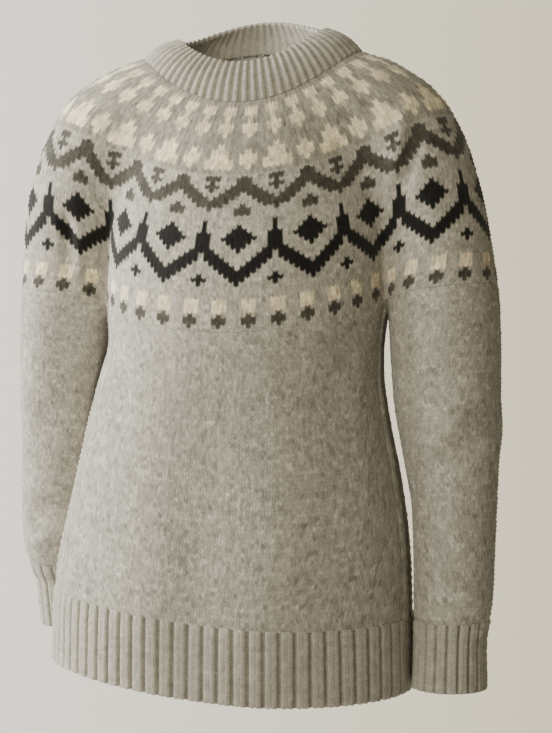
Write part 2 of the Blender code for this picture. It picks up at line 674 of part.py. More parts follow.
def make_body(edges, underarms):
    """Front and back panels with the raised side seams, and their hem ribs."""
    left_front, left_back = seam_split(*underarms[1], 1)
    right_front, right_back = seam_split(*underarms[-1], -1)
    front_top = np.concatenate([right_front[::-1][:-1], edges["front"], left_front[1:]])
    back_top = np.concatenate([left_back[:-1], edges["back"], right_back[::-1][1:]])
    for name, tops, ends in (("front", front_top, (len(right_front), len(left_front))),
                             ("back", back_top, (len(left_back), len(right_back)))):
        ease = np.zeros(len(tops))
        ease[:ends[0]] = ramp(-1, ends[0] - 1, np.arange(ends[0])[::-1])
        ease[-ends[1]:] = ramp(-1, ends[1] - 1, np.arange(ends[1]))
        tops, ease = with_welts(tops, ease)
        angles = np.unwrap(angle_round(tops))
        grid = body_grid(angles, tops, ease)
        normal = outward(grid)
        grid = drawn_in(drawn_back(grid, normal, False), normal)
        rise = np.zeros(grid.shape[:2])
        rise[[0, -1], 2:] = WELT_RISE
        wall("body_" + name, grid + rise[..., None] * normal, grid - WALL * normal, False)
        make_hem_rib(name, angles[0], angles[-1])


def make_hem_rib(name, first, last):
    """Two-plus-one ribbing: a broad ridge, then one narrow furrow, down to the hem."""
    within = np.array([0.12, 0.26, 0.88])
    share = ((np.arange(HEM_RIBS)[:, None] + within[None, :]) / HEM_RIBS).ravel()
    share = np.concatenate([[0.0], share[1:-1], [1.0]])
    share = share + RIB_SPREAD[name] * share * (1 - share)
    fine = np.linspace(first, last, 241)
    points = torso_point(fine, np.full(241, HEM_HEIGHT + HEM_RIB_DEPTH / 2))
    length = np.concatenate([[0.0], np.cumsum(np.linalg.norm(np.diff(points, axis=0), axis=1))])
    angles = np.interp(share * length[-1], length, fine)
    rise = np.tile([-RIB_DIP, RIB_RISE, RIB_RISE], HEM_RIBS)
    t = np.linspace(0.0, 1.0, RIB_ROWS + 1)
    z = (hem_height(angles) + HEM_RIB_DEPTH)[:, None] - HEM_RIB_DEPTH * t[None, :]
    grid = torso_point(np.broadcast_to(angles[:, None], z.shape), z)
    normal = outward(grid)
    grid = drawn_in(drawn_back(grid, normal, False), normal)
    wall("hem_rib_" + name, grid + normal * rise[:, None, None], grid - WALL * normal, False)


def make_sleeve(side, over, seam, name):
    """A sleeve from the yoke's edge and the underarm seam down to its ribbed cuff."""
    under = seam[1]
    back_to_start = under[::-1] if side > 0 else under
    tops = np.concatenate([over, back_to_start[1:-1]])
    section = sleeve_centre(side, tops[:, 2])
    angles = np.unwrap(np.arctan2(tops[:, 0] - section[:, 0], -(tops[:, 1] - section[:, 1])))
    turn = 2 * math.pi * np.sign(angles[1] - angles[0])
    count = len(tops)
    even_angles = angles[0] + turn * np.arange(count) / count
    t = np.linspace(0.0, 1.0, SLEEVE_ROWS + 1)
    lowered = ramp(-0.5, 1.5, np.array([0] * (count - UNDERARM_COLUMNS + 1) + [1] * (UNDERARM_COLUMNS - 1)))
    share = t[None, :] + lowered[:, None] * (t ** 1.7 - t)[None, :]
    settle_in = 0.4 * ramp(0.0, 0.8, t)[None, :]
    z = tops[:, None, 2] + (CUFF_SPAN[side][0] - tops[:, 2])[:, None] * share
    angle = angles[:, None] * (1 - settle_in) + even_angles[:, None] * settle_in
    grid = sleeve_point(side, angle, z)
    grid[:, 0] = tops
    normal = outward(grid)
    grid = drawn_back(grid, normal, True)
    wall("sleeve_" + name, grid, grid - WALL * normal, True)
    make_cuff(side, even_angles[0], name)


def make_cuff(side, first, name):
    """A ribbed cuff, its ribs as at the hem."""
    within = np.array([0.0, 0.16, 0.84])
    angles = (np.arange(CUFF_RIBS)[:, None] + within[None, :]).ravel() * 2 * math.pi / CUFF_RIBS + first
    rise = np.tile([-RIB_DIP, RIB_RISE * 0.8, RIB_RISE * 0.8], CUFF_RIBS)
    top, bottom = CUFF_SPAN[side]
    z = (top + (bottom - top) * np.array(CUFF_ROWS))[None, :].repeat(len(angles), 0)
    grid = sleeve_point(side, np.broadcast_to(angles[:, None], z.shape), z)
    normal = outward(grid)
    grid = drawn_back(grid, normal, True)
    wall("cuff_" + name, grid + normal * rise[:, None, None], grid - WALL * normal, True)


for old in list(bpy.data.objects):
    bpy.data.objects.remove(old)
GARMENT = bpy.data.collections.new("fair_isle_sweater")
bpy.context.scene.collection.children.link(GARMENT)
build()
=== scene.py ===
"""The looks of a worn round-yoke pullover, with each stitch knitted as relief.

Metres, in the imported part's frame: +Z up, the front faces -Y, the wearer's left is +X.
The cloth's surface is worked out as the part's is, from the same sizes. Each piece is
then knitted over it: wales of stitches run down the garment, rows run round it, and a
stitch is a pair of raised legs that meet in a V.
"""
import math

import bpy
import numpy as np
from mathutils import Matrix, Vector


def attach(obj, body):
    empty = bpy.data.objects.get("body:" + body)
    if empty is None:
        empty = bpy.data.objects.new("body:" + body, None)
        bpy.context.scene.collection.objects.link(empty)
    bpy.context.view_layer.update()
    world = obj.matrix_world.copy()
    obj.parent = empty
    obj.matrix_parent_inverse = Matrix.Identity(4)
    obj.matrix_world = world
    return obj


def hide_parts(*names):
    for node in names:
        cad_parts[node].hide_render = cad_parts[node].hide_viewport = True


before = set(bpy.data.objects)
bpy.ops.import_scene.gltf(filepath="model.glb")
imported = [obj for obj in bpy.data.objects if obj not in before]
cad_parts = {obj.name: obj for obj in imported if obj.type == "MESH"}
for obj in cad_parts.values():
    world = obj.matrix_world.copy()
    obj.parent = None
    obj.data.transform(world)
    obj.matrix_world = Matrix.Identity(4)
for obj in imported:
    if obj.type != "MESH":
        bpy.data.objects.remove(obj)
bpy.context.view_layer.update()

# Driving sizes
WALL = 0.003                # plain knit, a thick wool yarn
NECK_WALL = 0.004           # the neckband is knitted firmer
WELT_WIDTH = 0.006          # the raised side seam

NECK_RIBS = 68
HEM_RIBS = 33               # on each of the two hem pieces
CUFF_RIBS = 20
RIB_SPREAD = {"front": -0.14, "back": 0.0}   # the front ribs open towards the wearer's left
HEM_RIB_DEPTH = 0.072
YOKE_FRONT_COLUMNS = 17
YOKE_SLEEVE_COLUMNS = 17
UNDERARM_COLUMNS = 7

YOKE_START_LIFT = (0.0, 0.0, 0.10)   # the yoke's rows start out this high, then ease apart
EASE_ACROSS = 0.35          # each point goes to the middle of its neighbours, this share sideways
EASE_SHARE = 0.7

YOKE_ROWS = 12
BODY_ROWS = 13
SLEEVE_ROWS = 18
NECK_ROWS = 4

NECK_HALF_WIDTH = 0.1145    # outer edge of the neckband's base
NECK_HALF_DEPTH = 0.084
NECK_FRONT_DROP = 0.060     # the base dips this far at the front
NECK_BACK_RISE = 0.022
NECK_TILT = 0.0035          # the wearer's left side of the neck is this much higher
BAND_HALF_WIDTH = 0.0785    # the neckband's upper edge
BAND_HALF_DEPTH = 0.066
BAND_SIDE_HEIGHT = 0.0225
BAND_FRONT_HEIGHT = -0.0175
BAND_BACK_HEIGHT = 0.051
BAND_SWELL = 0.004

YOKE_FRONT_EDGE = -0.292    # height of the yoke's lower edge, front, back and sleeve
YOKE_BACK_EDGE = -0.276
YOKE_SLEEVE_EDGE = -0.241
ARMPIT_HEIGHT = -0.258      # where that edge crosses the fold beside the arm
ARMPIT_MIDDLE = math.radians(88)     # the underarm lies round this angle
ARMPIT_REACH = math.radians(50)      # and ends within this much before and behind it
SIDE_SEAM_FORWARD = math.radians(14)

HEM_HEIGHT = -0.640
HEM_SIDE_TILT = 0.0135      # the hem hangs lower on the wearer's left by this much
HEM_FRONT_SAG = 0.008
FOLD_SOFTNESS = 1.3         # folds are this much broader than their listed widths
SHOULDER_TOP = -0.002       # the torso's top is a plane through here that leans forward
SHOULDER_LEAN = 0.46
SHOULDER_ROUND = 0.03       # it runs into the sides over this width
SLEEVE_PRESS_ROUND = 0.006  # and the sleeve's pressed side into the rest of it over this
SLOPE_STEP = 0.0004
SETTLE_LIMIT = 0.01         # a point moves at most this far at a time

# Torso sections: height, half width, depth before and behind, centre, squareness
TORSO_COLUMNS = ("z", "half_width", "front", "back", "x", "y", "power")
TORSO = (
    (0.060, 0.070, 0.040, 0.070, 0.000, 0.000, 2.0),
    (0.000, 0.098, 0.060, 0.083, 0.000, 0.000, 2.0),
    (-0.030, 0.118, 0.071, 0.093, 0.000, 0.000, 2.1),
    (-0.060, 0.129, 0.083, 0.101, 0.000, 0.000, 2.1),
    (-0.100, 0.138, 0.096, 0.108, 0.000, 0.000, 2.2),
    (-0.150, 0.147, 0.109, 0.114, -0.001, 0.000, 2.2),
    (-0.200, 0.150, 0.120, 0.118, -0.002, 0.000, 2.2),
    (-0.250, 0.1480, 0.127, 0.118, -0.004, 0.000, 2.2),
    (-0.303, 0.1427, 0.128, 0.115, -0.007, 0.000, 2.2),
    (-0.340, 0.1490, 0.126, 0.114, -0.013, 0.000, 2.2),
    (-0.382, 0.1580, 0.126, 0.118, -0.0155, 0.000, 2.2),
    (-0.434, 0.1690, 0.129, 0.125, -0.016, 0.000, 2.2),
    (-0.487, 0.1790, 0.135, 0.133, -0.018, 0.000, 2.2),
    (-0.529, 0.1855, 0.140, 0.139, -0.021, 0.000, 2.2),
    (-0.571, 0.1875, 0.143, 0.142, -0.022, 0.000, 2.2),
    (-0.618, 0.1880, 0.144, 0.143, -0.022, 0.000, 2.2),
    (-0.700, 0.1890, 0.145, 0.144, -0.022, 0.000, 2.2),
)

# Sleeves from the neck to below the cuff: x, y and z of each section's centre, and its radius
LEFT_SLEEVE = (
    (0.000, 0.006, -0.076, 0.062),
    (0.060, 0.006, -0.067, 0.068),
    (0.110, 0.004, -0.070, 0.0715),
    (0.143, 0.001, -0.089, 0.0690),
    (0.163, -0.004, -0.121, 0.0650),
    (0.180, -0.009, -0.165, 0.0605),
    (0.1905, -0.014, -0.205, 0.0570),
    (0.1990, -0.018, -0.258, 0.0565),
    (0.2010, -0.020, -0.309, 0.0560),
    (0.2025, -0.020, -0.360, 0.0540),
    (0.2065, -0.020, -0.411, 0.0485),
    (0.2100, -0.022, -0.461, 0.0430),
    (0.2095, -0.025, -0.512, 0.0412),
    (0.2085, -0.028, -0.556, 0.0404),
    (0.2070, -0.029, -0.573, 0.0394),
    (0.2060, -0.030, -0.586, 0.0358),
    (0.2055, -0.031, -0.604, 0.0350),
    (0.2045, -0.033, -0.648, 0.0368),
    (0.2040, -0.034, -0.700, 0.0372),
)
RIGHT_SLEEVE = (
    (0.000, 0.006, -0.076, 0.062),
    (-0.060, 0.006, -0.067, 0.068),
    (-0.110, 0.005, -0.070, 0.0715),
    (-0.147, 0.006, -0.087, 0.0700),
    (-0.167, 0.008, -0.119, 0.0670),
    (-0.182, 0.011, -0.152, 0.0640),
    (-0.1930, 0.016, -0.197, 0.0595),
    (-0.1995, 0.021, -0.254, 0.0580),
    (-0.2050, 0.030, -0.308, 0.0565),
    (-0.2090, 0.042, -0.362, 0.0555),
    (-0.2150, 0.055, -0.417, 0.0525),
    (-0.2225, 0.065, -0.473, 0.0490),
    (-0.2275, 0.074, -0.514, 0.0455),
    (-0.2265, 0.079, -0.533, 0.0425),
    (-0.2230, 0.082, -0.547, 0.0375),
    (-0.2210, 0.085, -0.582, 0.0362),
    (-0.2180, 0.089, -0.614, 0.0372),
    (-0.2150, 0.094, -0.670, 0.0378),
)
CUFF_SPAN = {1: (-0.5815, -0.648), -1: (-0.5465, -0.6135)}   # a cuff's top and bottom

# Soft folds: middle (x, y, z), direction (x, y, z), half length, half width and rise
FOLDS = (
    (0.205, -0.075, -0.385, 0.75, -0.2, 0.45, 0.045, 0.011, 0.0042),
    (0.215, -0.070, -0.412, 0.80, -0.2, 0.35, 0.040, 0.010, -0.0036),
    (0.195, -0.072, -0.345, 0.60, -0.2, 0.65, 0.045, 0.013, -0.0030),
    (0.250, -0.030, -0.395, 0.10, 0.60, 0.50, 0.040, 0.012, 0.0034),
    (0.215, 0.030, -0.400, 0.75, 0.2, -0.45, 0.045, 0.013, -0.0036),
    (0.178, -0.062, -0.215, 0.20, 0.0, 0.98, 0.060, 0.010, 0.0030),
    (0.168, -0.0665, -0.113, -0.25, -0.1, -1.0, 0.046, 0.0062, -0.0070),
    (0.1535, -0.0735, -0.118, -0.25, -0.1, -1.0, 0.044, 0.0080, 0.0040),
    (-0.1640, -0.0240, -0.265, 0.05, 0.2, 1.0, 0.060, 0.0110, 0.0050),
    (-0.1885, -0.044, -0.200, 0.00, 0.1, 1.00, 0.080, 0.006, -0.0080),
    (-0.1790, -0.044, -0.235, 0.00, 0.1, 1.00, 0.085, 0.009, 0.0040),
    (-0.2050, -0.040, -0.335, 0.10, 0.3, 1.00, 0.060, 0.014, -0.0040),
    (-0.220, -0.012, -0.380, 0.60, 0.2, 0.70, 0.050, 0.014, -0.0036),
    (-0.235, 0.010, -0.350, 0.70, 0.2, 0.60, 0.045, 0.012, 0.0032),
    (-0.240, 0.022, -0.485, 0.80, 0.1, 0.45, 0.040, 0.012, -0.0046),
    (-0.232, 0.028, -0.515, 0.90, 0.1, 0.20, 0.038, 0.010, 0.0036),
    (-0.250, 0.110, -0.420, 0.50, 0.3, 0.60, 0.050, 0.014, -0.0036),
    (-0.085, -0.120, -0.500, -0.10, 0.0, 1.00, 0.140, 0.026, 0.0030),
    (-0.035, -0.140, -0.540, 0.05, 0.0, 1.00, 0.130, 0.022, -0.0030),
    (0.040, -0.140, -0.520, 0.06, 0.0, 1.00, 0.150, 0.026, 0.0028),
    (0.105, -0.100, -0.470, 0.15, 0.0, 1.00, 0.140, 0.024, -0.0030),
    (-0.115, -0.085, -0.345, -0.35, 0.0, 1.00, 0.070, 0.016, -0.0030),
    (0.100, -0.090, -0.330, 0.45, 0.0, 1.00, 0.070, 0.016, -0.0030),
    (0.070, 0.125, -0.430, 0.15, 0.0, 1.00, 0.150, 0.026, -0.0034),
    (0.010, 0.130, -0.500, 0.00, 0.0, 1.00, 0.140, 0.026, 0.0030),
    (-0.075, 0.125, -0.460, -0.12, 0.0, 1.00, 0.150, 0.026, -0.0034),
    (0.055, 0.112, -0.330, 0.85, 0.0, 0.30, 0.070, 0.016, 0.0026),
    (-0.060, 0.112, -0.350, 0.85, 0.0, -0.30, 0.070, 0.016, 0.0026),
)


def column(table, names, name):
    """One named column of a table as an array."""
    return np.array([row[names.index(name)] for row in table])


def softened(heights, values, steps, reach):
    """The table's straight runs between heights, averaged over a window of that reach."""
    order = np.argsort(heights)
    raw = np.interp(steps, heights[order], values[order])
    half = int(round(reach / (steps[1] - steps[0])))
    window = np.hanning(2 * half + 3)
    padded = np.pad(raw, half + 1, mode="edge")
    return np.convolve(padded, window / window.sum(), mode="valid")


def unit(vectors):
    """Vectors made one long."""
    return vectors / np.linalg.norm(vectors, axis=-1, keepdims=True)


def lengths_along(points):
    """Distance of each point of a curve from its first, measured along it."""
    return np.concatenate([[0.0], np.cumsum(np.linalg.norm(np.diff(points, axis=0), axis=1))])


def round_from(centre_x, centre_y, radius, angle, z):
    """The point at an angle round a centre: 0 in front, + towards +X."""
    return np.stack([centre_x + radius * np.sin(angle), centre_y - radius * np.cos(angle), z], axis=-1)


TORSO_STEPS = np.linspace(-0.72, 0.08, 801)
TORSO_LANES = {
    name: softened(column(TORSO, TORSO_COLUMNS, "z"), column(TORSO, TORSO_COLUMNS, name),
                   TORSO_STEPS, 0.02)
    for name in TORSO_COLUMNS[1:]
}


def torso_lane(name, z):
    """A torso size at height z."""
    return np.interp(z, TORSO_STEPS, TORSO_LANES[name])


def sleeve_path(table):
    """The sleeve's centre line and radius at even steps, with its corners eased."""
    rows = np.array(table)
    length = lengths_along(rows[:, :3])
    steps = np.linspace(0.0, length[-1], 181)
    lanes = [softened(length, rows[:, i], steps, 0.014) for i in range(4)]
    return np.stack(lanes, axis=1)[::3]


SLEEVE_PATHS = {1: sleeve_path(LEFT_SLEEVE), -1: sleeve_path(RIGHT_SLEEVE)}


def smooth_min(a, b, width):
    """The lesser of two distances, rounded over a width where they are nearly equal."""
    near = np.clip(width - np.abs(a - b), 0.0, None) / width
    return np.minimum(a, b) - near * near * width / 4


def ramp(low, high, value):
    """0 below low, 1 above high, and an even S between."""
    t = np.clip((value - low) / (high - low), 0.0, 1.0)
    return t * t * (3 - 2 * t)


def torso_radius(angle, z):
    """Distance from the torso's centre to its section, angle 0 in front, + towards +X."""
    side = np.abs(np.sin(angle)) / torso_lane("half_width", z)
    depth = np.where(np.cos(angle) > 0, torso_lane("front", z), torso_lane("back", z))
    along = np.abs(np.cos(angle)) / depth
    power = torso_lane("power", z)
    return (side ** power + along ** power) ** (-1 / power)


def torso_distance(p):
    """Outwards from the torso's sections, closed above by a plane that leans forward."""
    z = p[..., 2]
    dx = p[..., 0] - torso_lane("x", z)
    dy = p[..., 1] - torso_lane("y", z)
    sideways = np.hypot(dx, dy) - torso_radius(np.arctan2(dx, -dy), z)
    above = (z - SHOULDER_TOP - SHOULDER_LEAN * p[..., 1]) * 0.908
    return -smooth_min(-sideways, -above, SHOULDER_ROUND)


def sleeve_distance(p, side):
    """Outwards from the ball-swept sleeve: the lesser of its nearest ball's two stretches."""
    path = SLEEVE_PATHS[side]
    flat = p.reshape(-1, 3)
    squares = (flat ** 2).sum(1)[:, None] - 2 * flat @ path[:, :3].T + (path[:, :3] ** 2).sum(1)
    nearest = np.argmin(np.sqrt(np.clip(squares, 0.0, None)) - path[:, 3], axis=1)
    best = np.full(len(flat), 1.0)
    for first in (np.clip(nearest - 1, 0, len(path) - 2), np.clip(nearest, 0, len(path) - 2)):
        start, end = path[first], path[first + 1]
        run = end[:, :3] - start[:, :3]
        offset = flat - start[:, :3]
        t = np.clip((offset * run).sum(1) / (run * run).sum(1), 0.0, 1.0)
        apart = np.linalg.norm(offset - t[:, None] * run, axis=1)
        best = np.minimum(best, apart - start[:, 3] - t * (end[:, 3] - start[:, 3]))
    return best.reshape(p.shape[:-1])


def room_between(z):
    """Least room between sleeve and torso: none above the armpit, a few mm below."""
    return -0.06 + 0.066 * ramp(-0.225, -0.310, z)


def blend_width(z):
    """How softly sleeve and torso run together: broad on the shoulder, crisp below."""
    return (0.0008 + 0.0052 * ramp(-0.335, -0.300, z) + 0.003 * ramp(-0.300, -0.250, z)
            + 0.022 * ramp(-0.200, -0.100, z))


def fold_rise(p):
    """Sum of soft ridges and troughs: each is a bell along its line and a bell across it."""
    flat = p.reshape(-1, 3)
    middle = np.array([row[:3] for row in FOLDS])
    line = unit(np.array([row[3:6] for row in FOLDS]))
    reach, width, rise = np.array([row[6:] for row in FOLDS]).T
    along = flat @ line.T - (middle * line).sum(1)
    squares = (flat ** 2).sum(1)[:, None] - 2 * flat @ middle.T + (middle ** 2).sum(1)
    across = np.clip(squares - along ** 2, 0.0, None)
    bells = np.exp(-(along / reach) ** 2 - across / (width * FOLD_SOFTNESS) ** 2)
    return (bells @ rise).reshape(p.shape[:-1])


def pressed_sleeve(p, side, torso):
    """The sleeve's distance, with its inner side pressed flat where the body is close."""
    return -smooth_min(-sleeve_distance(p, side), torso - room_between(p[..., 2]),
                       SLEEVE_PRESS_ROUND)


def cloth(p):
    """Below 0 inside the garment, 0 on the cloth and above 0 outside it."""
    torso = torso_distance(p)
    width = blend_width(p[..., 2])
    joined = torso
    for side in (1, -1):
        joined = smooth_min(joined, pressed_sleeve(p, side, torso), width)
    return joined - fold_rise(p)


def nearer_torso(p, side):
    """Below 0 where the torso is nearer than the sleeve, 0 along the armpit fold."""
    torso = torso_distance(p)
    return torso - pressed_sleeve(p, side, torso)


def slope_of(field, p):
    """How fast a field grows along each axis."""
    steps = SLOPE_STEP * np.eye(3)
    return np.stack([field(p + step) - field(p - step) for step in steps], axis=-1) / (2 * SLOPE_STEP)


def outward(p):
    """Unit direction straight out of the cloth."""
    return unit(slope_of(cloth, p))


def settle(p, rounds=6):
    """Points moved along the slope until they lie on the cloth."""
    for _ in range(rounds):
        p = p - np.clip(cloth(p), -SETTLE_LIMIT, SETTLE_LIMIT)[..., None] * outward(p)
    return p


def settle_in_fold(p, side, rounds=5):
    """Points moved the shortest way onto the cloth where it dips beside the sleeve."""
    for _ in range(rounds):
        values = np.stack([cloth(p), nearer_torso(p, side)], axis=-1)
        slopes = np.stack([slope_of(cloth, p), slope_of(lambda q: nearer_torso(q, side), p)], axis=-2)
        square = slopes @ slopes.swapaxes(-1, -2) + 1e-6 * np.eye(2)
        step = (slopes.swapaxes(-1, -2) @ np.linalg.solve(square, values[..., None]))[..., 0]
        p = p - np.clip(step, -SETTLE_LIMIT, SETTLE_LIMIT)
    return p


def first_crossing(start, direction, reach, steps=90):
    """First place along each ray where the cloth is passed from inside to outside."""
    t = np.linspace(0.0, reach, steps)
    samples = start[..., None, :] + t[:, None] * direction[..., None, :]
    values = cloth(samples)
    outside = (values[..., 1:] > 0) & (values[..., :-1] <= 0)
    found = outside.any(-1)
    index = np.where(found, outside.argmax(-1), values.argmax(-1).clip(0, steps - 2))
    before = np.take_along_axis(values, index[..., None], -1)[..., 0]
    after = np.take_along_axis(values, index[..., None] + 1, -1)[..., 0]
    part = np.where(found, before / np.where(found, before - after, 1.0), 0.0)
    distance = t[index] + part * (t[1] - t[0])
    return start + distance[..., None] * direction


def torso_point(angle, z):
    """The body panel's surface at an angle round the torso and a height."""
    angle, z = np.broadcast_arrays(angle, z)
    direction = np.stack([np.sin(angle), -np.cos(angle), np.zeros_like(z)], axis=-1)
    centre = np.stack([torso_lane("x", z), torso_lane("y", z), z], axis=-1)
    inside = torso_radius(angle, z) - 0.018
    return first_crossing(centre + inside[..., None] * direction, direction, 0.04)


def sleeve_centre(side, z):
    """Centre and radius of the sleeve at a height below the shoulder."""
    path = SLEEVE_PATHS[side]
    hanging = path[path[:, 2] < -0.16][::-1]
    return np.stack([np.interp(z, hanging[:, 2], hanging[:, i]) for i in range(4)], axis=-1)


def sleeve_point(side, angle, z):
    """The sleeve's surface at an angle round its centre and a height."""
    angle, z = np.broadcast_arrays(angle, z)
    direction = np.stack([np.sin(angle), -np.cos(angle), np.zeros_like(z)], axis=-1)
    section = sleeve_centre(side, z)
    centre = np.stack([section[..., 0], section[..., 1], z], axis=-1)
    inside = section[..., 3] * 0.35
    return first_crossing(centre + inside[..., None] * direction, direction, 0.075, 150)


def beside_torso(angle, z):
    """The point just off the torso's section, where the sleeve's cloth runs into it."""
    radius = torso_radius(angle, z) + blend_width(z) / 4
    return round_from(torso_lane("x", z), torso_lane("y", z), radius, angle, z)


def fold_line_height(side, angle):
    """Height at which torso and sleeve are equally near, at an angle round the torso."""
    low = np.full(angle.shape, -0.330)
    high = np.full(angle.shape, -0.200)
    for _ in range(40):
        z = (low + high) / 2
        apart = nearer_torso(beside_torso(angle, z), side) < 0
        low = np.where(apart, z, low)
        high = np.where(apart, high, z)
    return (low + high) / 2


def armpit_angles(side):
    """Angles round the torso where the yoke's edge meets the folds before and behind."""
    found = []
    for reach in (-ARMPIT_REACH, ARMPIT_REACH):
        near, far = ARMPIT_MIDDLE, ARMPIT_MIDDLE + reach
        for _ in range(40):
            trial = (near + far) / 2
            if fold_line_height(side, np.array([side * trial]))[0] < ARMPIT_HEIGHT:
                near = trial
            else:
                far = trial
        found.append(side * (near + far) / 2)
    return found


def underarm(side):
    """The grafted seam under the arm, from its front end to its back end."""
    front, back = armpit_angles(side)
    angle = front + (back - front) * (1 - np.cos(np.linspace(0.0, math.pi, 81))) / 2
    z = fold_line_height(side, angle)
    z[0] = z[-1] = ARMPIT_HEIGHT
    points = settle(even(beside_torso(angle, z), UNDERARM_COLUMNS + 1))
    return np.unwrap(angle_round(points)), points


def even(points, count):
    """The same curve with points at even lengths along it."""
    length = lengths_along(points)
    steps = np.linspace(0.0, length[-1], count)
    return np.stack([np.interp(steps, length, points[:, i]) for i in range(3)], axis=1)


def torso_edge(from_angle, to_angle, middle_height, count):
    """The yoke's lower edge over the chest or the back, dipping in the middle."""
    angle = np.linspace(from_angle, to_angle, 121)
    share = np.linspace(-1.0, 1.0, 121)
    z = ARMPIT_HEIGHT + (middle_height - ARMPIT_HEIGHT) * (1 - share ** 2) ** 1.2
    return even(torso_point(angle, z), count)


def sleeve_edge(side, start, end, count):
    """The yoke's lower edge round the outside of a sleeve, rising in the middle."""
    first = np.append(start[:2] - sleeve_centre(side, start[2])[:2], 0)
    last = np.append(end[:2] - sleeve_centre(side, end[2])[:2], 0)
    a = math.atan2(first[0], -first[1])
    b = math.atan2(last[0], -last[1])
    if side > 0:
        b = b % (2 * math.pi)
        a = a if a < b else a - 2 * math.pi
    else:
        b = b % (2 * math.pi) - 2 * math.pi
        a = a if a > b else a + 2 * math.pi
    angle = np.linspace(a, b, 121)
    share = np.linspace(-1.0, 1.0, 121)
    z = ARMPIT_HEIGHT + (YOKE_SLEEVE_EDGE - ARMPIT_HEIGHT) * (1 - share ** 2)
    points = sleeve_point(side, angle, z)
    points[0] = start
    points[-1] = end
    return even(points, count)


def yoke_lower_edge():
    """The closed lower edge, from the centre front by the left sleeve to the back."""
    left_angle, left = underarm(1)
    right_angle, right = underarm(-1)
    front = torso_edge(right_angle[0], left_angle[0], YOKE_FRONT_EDGE, YOKE_FRONT_COLUMNS + 1)
    back = torso_edge(left_angle[-1], right_angle[-1] % (2 * math.pi), YOKE_BACK_EDGE,
                      YOKE_FRONT_COLUMNS + 1)
    front[0], front[-1] = right[0], left[0]
    back[0], back[-1] = left[-1], right[-1]
    over_left = sleeve_edge(1, left[0], left[-1], YOKE_SLEEVE_COLUMNS + 1)
    over_right = sleeve_edge(-1, right[0], right[-1], YOKE_SLEEVE_COLUMNS + 1)[::-1]
    edges = {"front": front, "over_left": over_left, "back": back, "over_right": over_right}
    ring = np.concatenate([edge[:-1] for edge in edges.values()])
    return edges, ring, {1: (left_angle, left), -1: (right_angle, right)}


def neck_outline(angle, half_width, half_depth, front, side, back):
    """An oval that dips in front: its height follows the cosine of the angle."""
    x = half_width * np.sin(angle)
    y = -half_depth * np.cos(angle)
    c = np.cos(angle)
    z = side * (1 - c * c) + np.where(c > 0, front, back) * c * c
    z = z + NECK_TILT * np.sin(angle)
    return np.stack([x, y, z], axis=-1)


def neck_edges(count, first_angle):
    """The neckband's base on the cloth, and its upper edge, as closed rings."""
    fine = np.linspace(first_angle, first_angle + 2 * math.pi, 721)
    base = neck_outline(fine, NECK_HALF_WIDTH, NECK_HALF_DEPTH, -NECK_FRONT_DROP, 0.0, NECK_BACK_RISE)
    base = settle(base, 12)
    base[-1] = base[0]
    base = even(base, count + 1)[:-1]
    base[1::2] = (base[::2] + np.roll(base[::2], -1, 0)) / 2
    angle = np.arctan2(base[:, 0] / NECK_HALF_WIDTH, -base[:, 1] / NECK_HALF_DEPTH)
    top = neck_outline(angle, BAND_HALF_WIDTH, BAND_HALF_DEPTH, BAND_FRONT_HEIGHT, BAND_SIDE_HEIGHT,
                       BAND_BACK_HEIGHT)
    return base, top


def relaxed_grid(upper, lower, rows, rounds=96):
    """Rows from the upper ring to the lower one, eased apart evenly over the cloth."""
    t = np.linspace(0.0, 1.0, rows + 1)[None, :, None]
    middle = (upper + lower) / 2 + YOKE_START_LIFT
    grid = upper[:, None] * (1 - t) ** 2 + 2 * middle[:, None] * t * (1 - t) + lower[:, None] * t ** 2
    grid[:, 1:-1] = settle(grid[:, 1:-1], 12)
    for turn in range(rounds):
        across = (np.roll(grid, 1, 0) + np.roll(grid, -1, 0))[:, 1:-1] / 2
        along = (grid[:, :-2] + grid[:, 2:]) / 2
        eased = (1 - EASE_ACROSS) * along + EASE_ACROSS * across
        grid[:, 1:-1] += EASE_SHARE * (eased - grid[:, 1:-1])
        if turn % 8 == 7:
            for index, side in fold_columns():
                inner = grid[index, 1:-1]
                hold = ramp(-0.140, -0.185, inner[:, 2])[:, None]
                grid[index, 1:-1] = inner + hold * (settle_in_fold(inner, side) - inner)
            grid[:, 1:-1] = settle(grid[:, 1:-1], 2)
    return grid


def fold_columns():
    """The yoke's columns that run down the four armpit folds, and each one's side."""
    over = YOKE_FRONT_COLUMNS + YOKE_SLEEVE_COLUMNS
    return (0, -1), (YOKE_FRONT_COLUMNS, 1), (over, 1), (over + YOKE_FRONT_COLUMNS, -1)


def band_lean(grid):
    """Outward directions of a closed grid whose rows run upwards."""
    across = np.roll(grid, -1, 0) - np.roll(grid, 1, 0)
    return unit(np.cross(across, np.gradient(grid, axis=1)))


def with_welts(tops, ease):
    """The panel's top points with one more beside each end, where the welt dies out."""
    first = tops[0] + (tops[1] - tops[0]) * WELT_WIDTH / np.linalg.norm(tops[1] - tops[0])
    last = tops[-1] + (tops[-2] - tops[-1]) * WELT_WIDTH / np.linalg.norm(tops[-2] - tops[-1])
    tops = np.concatenate([tops[:1], [first], tops[1:-1], [last], tops[-1:]])
    return tops, np.concatenate([ease[:1], ease[:1], ease[1:-1], ease[-1:], ease[-1:]])


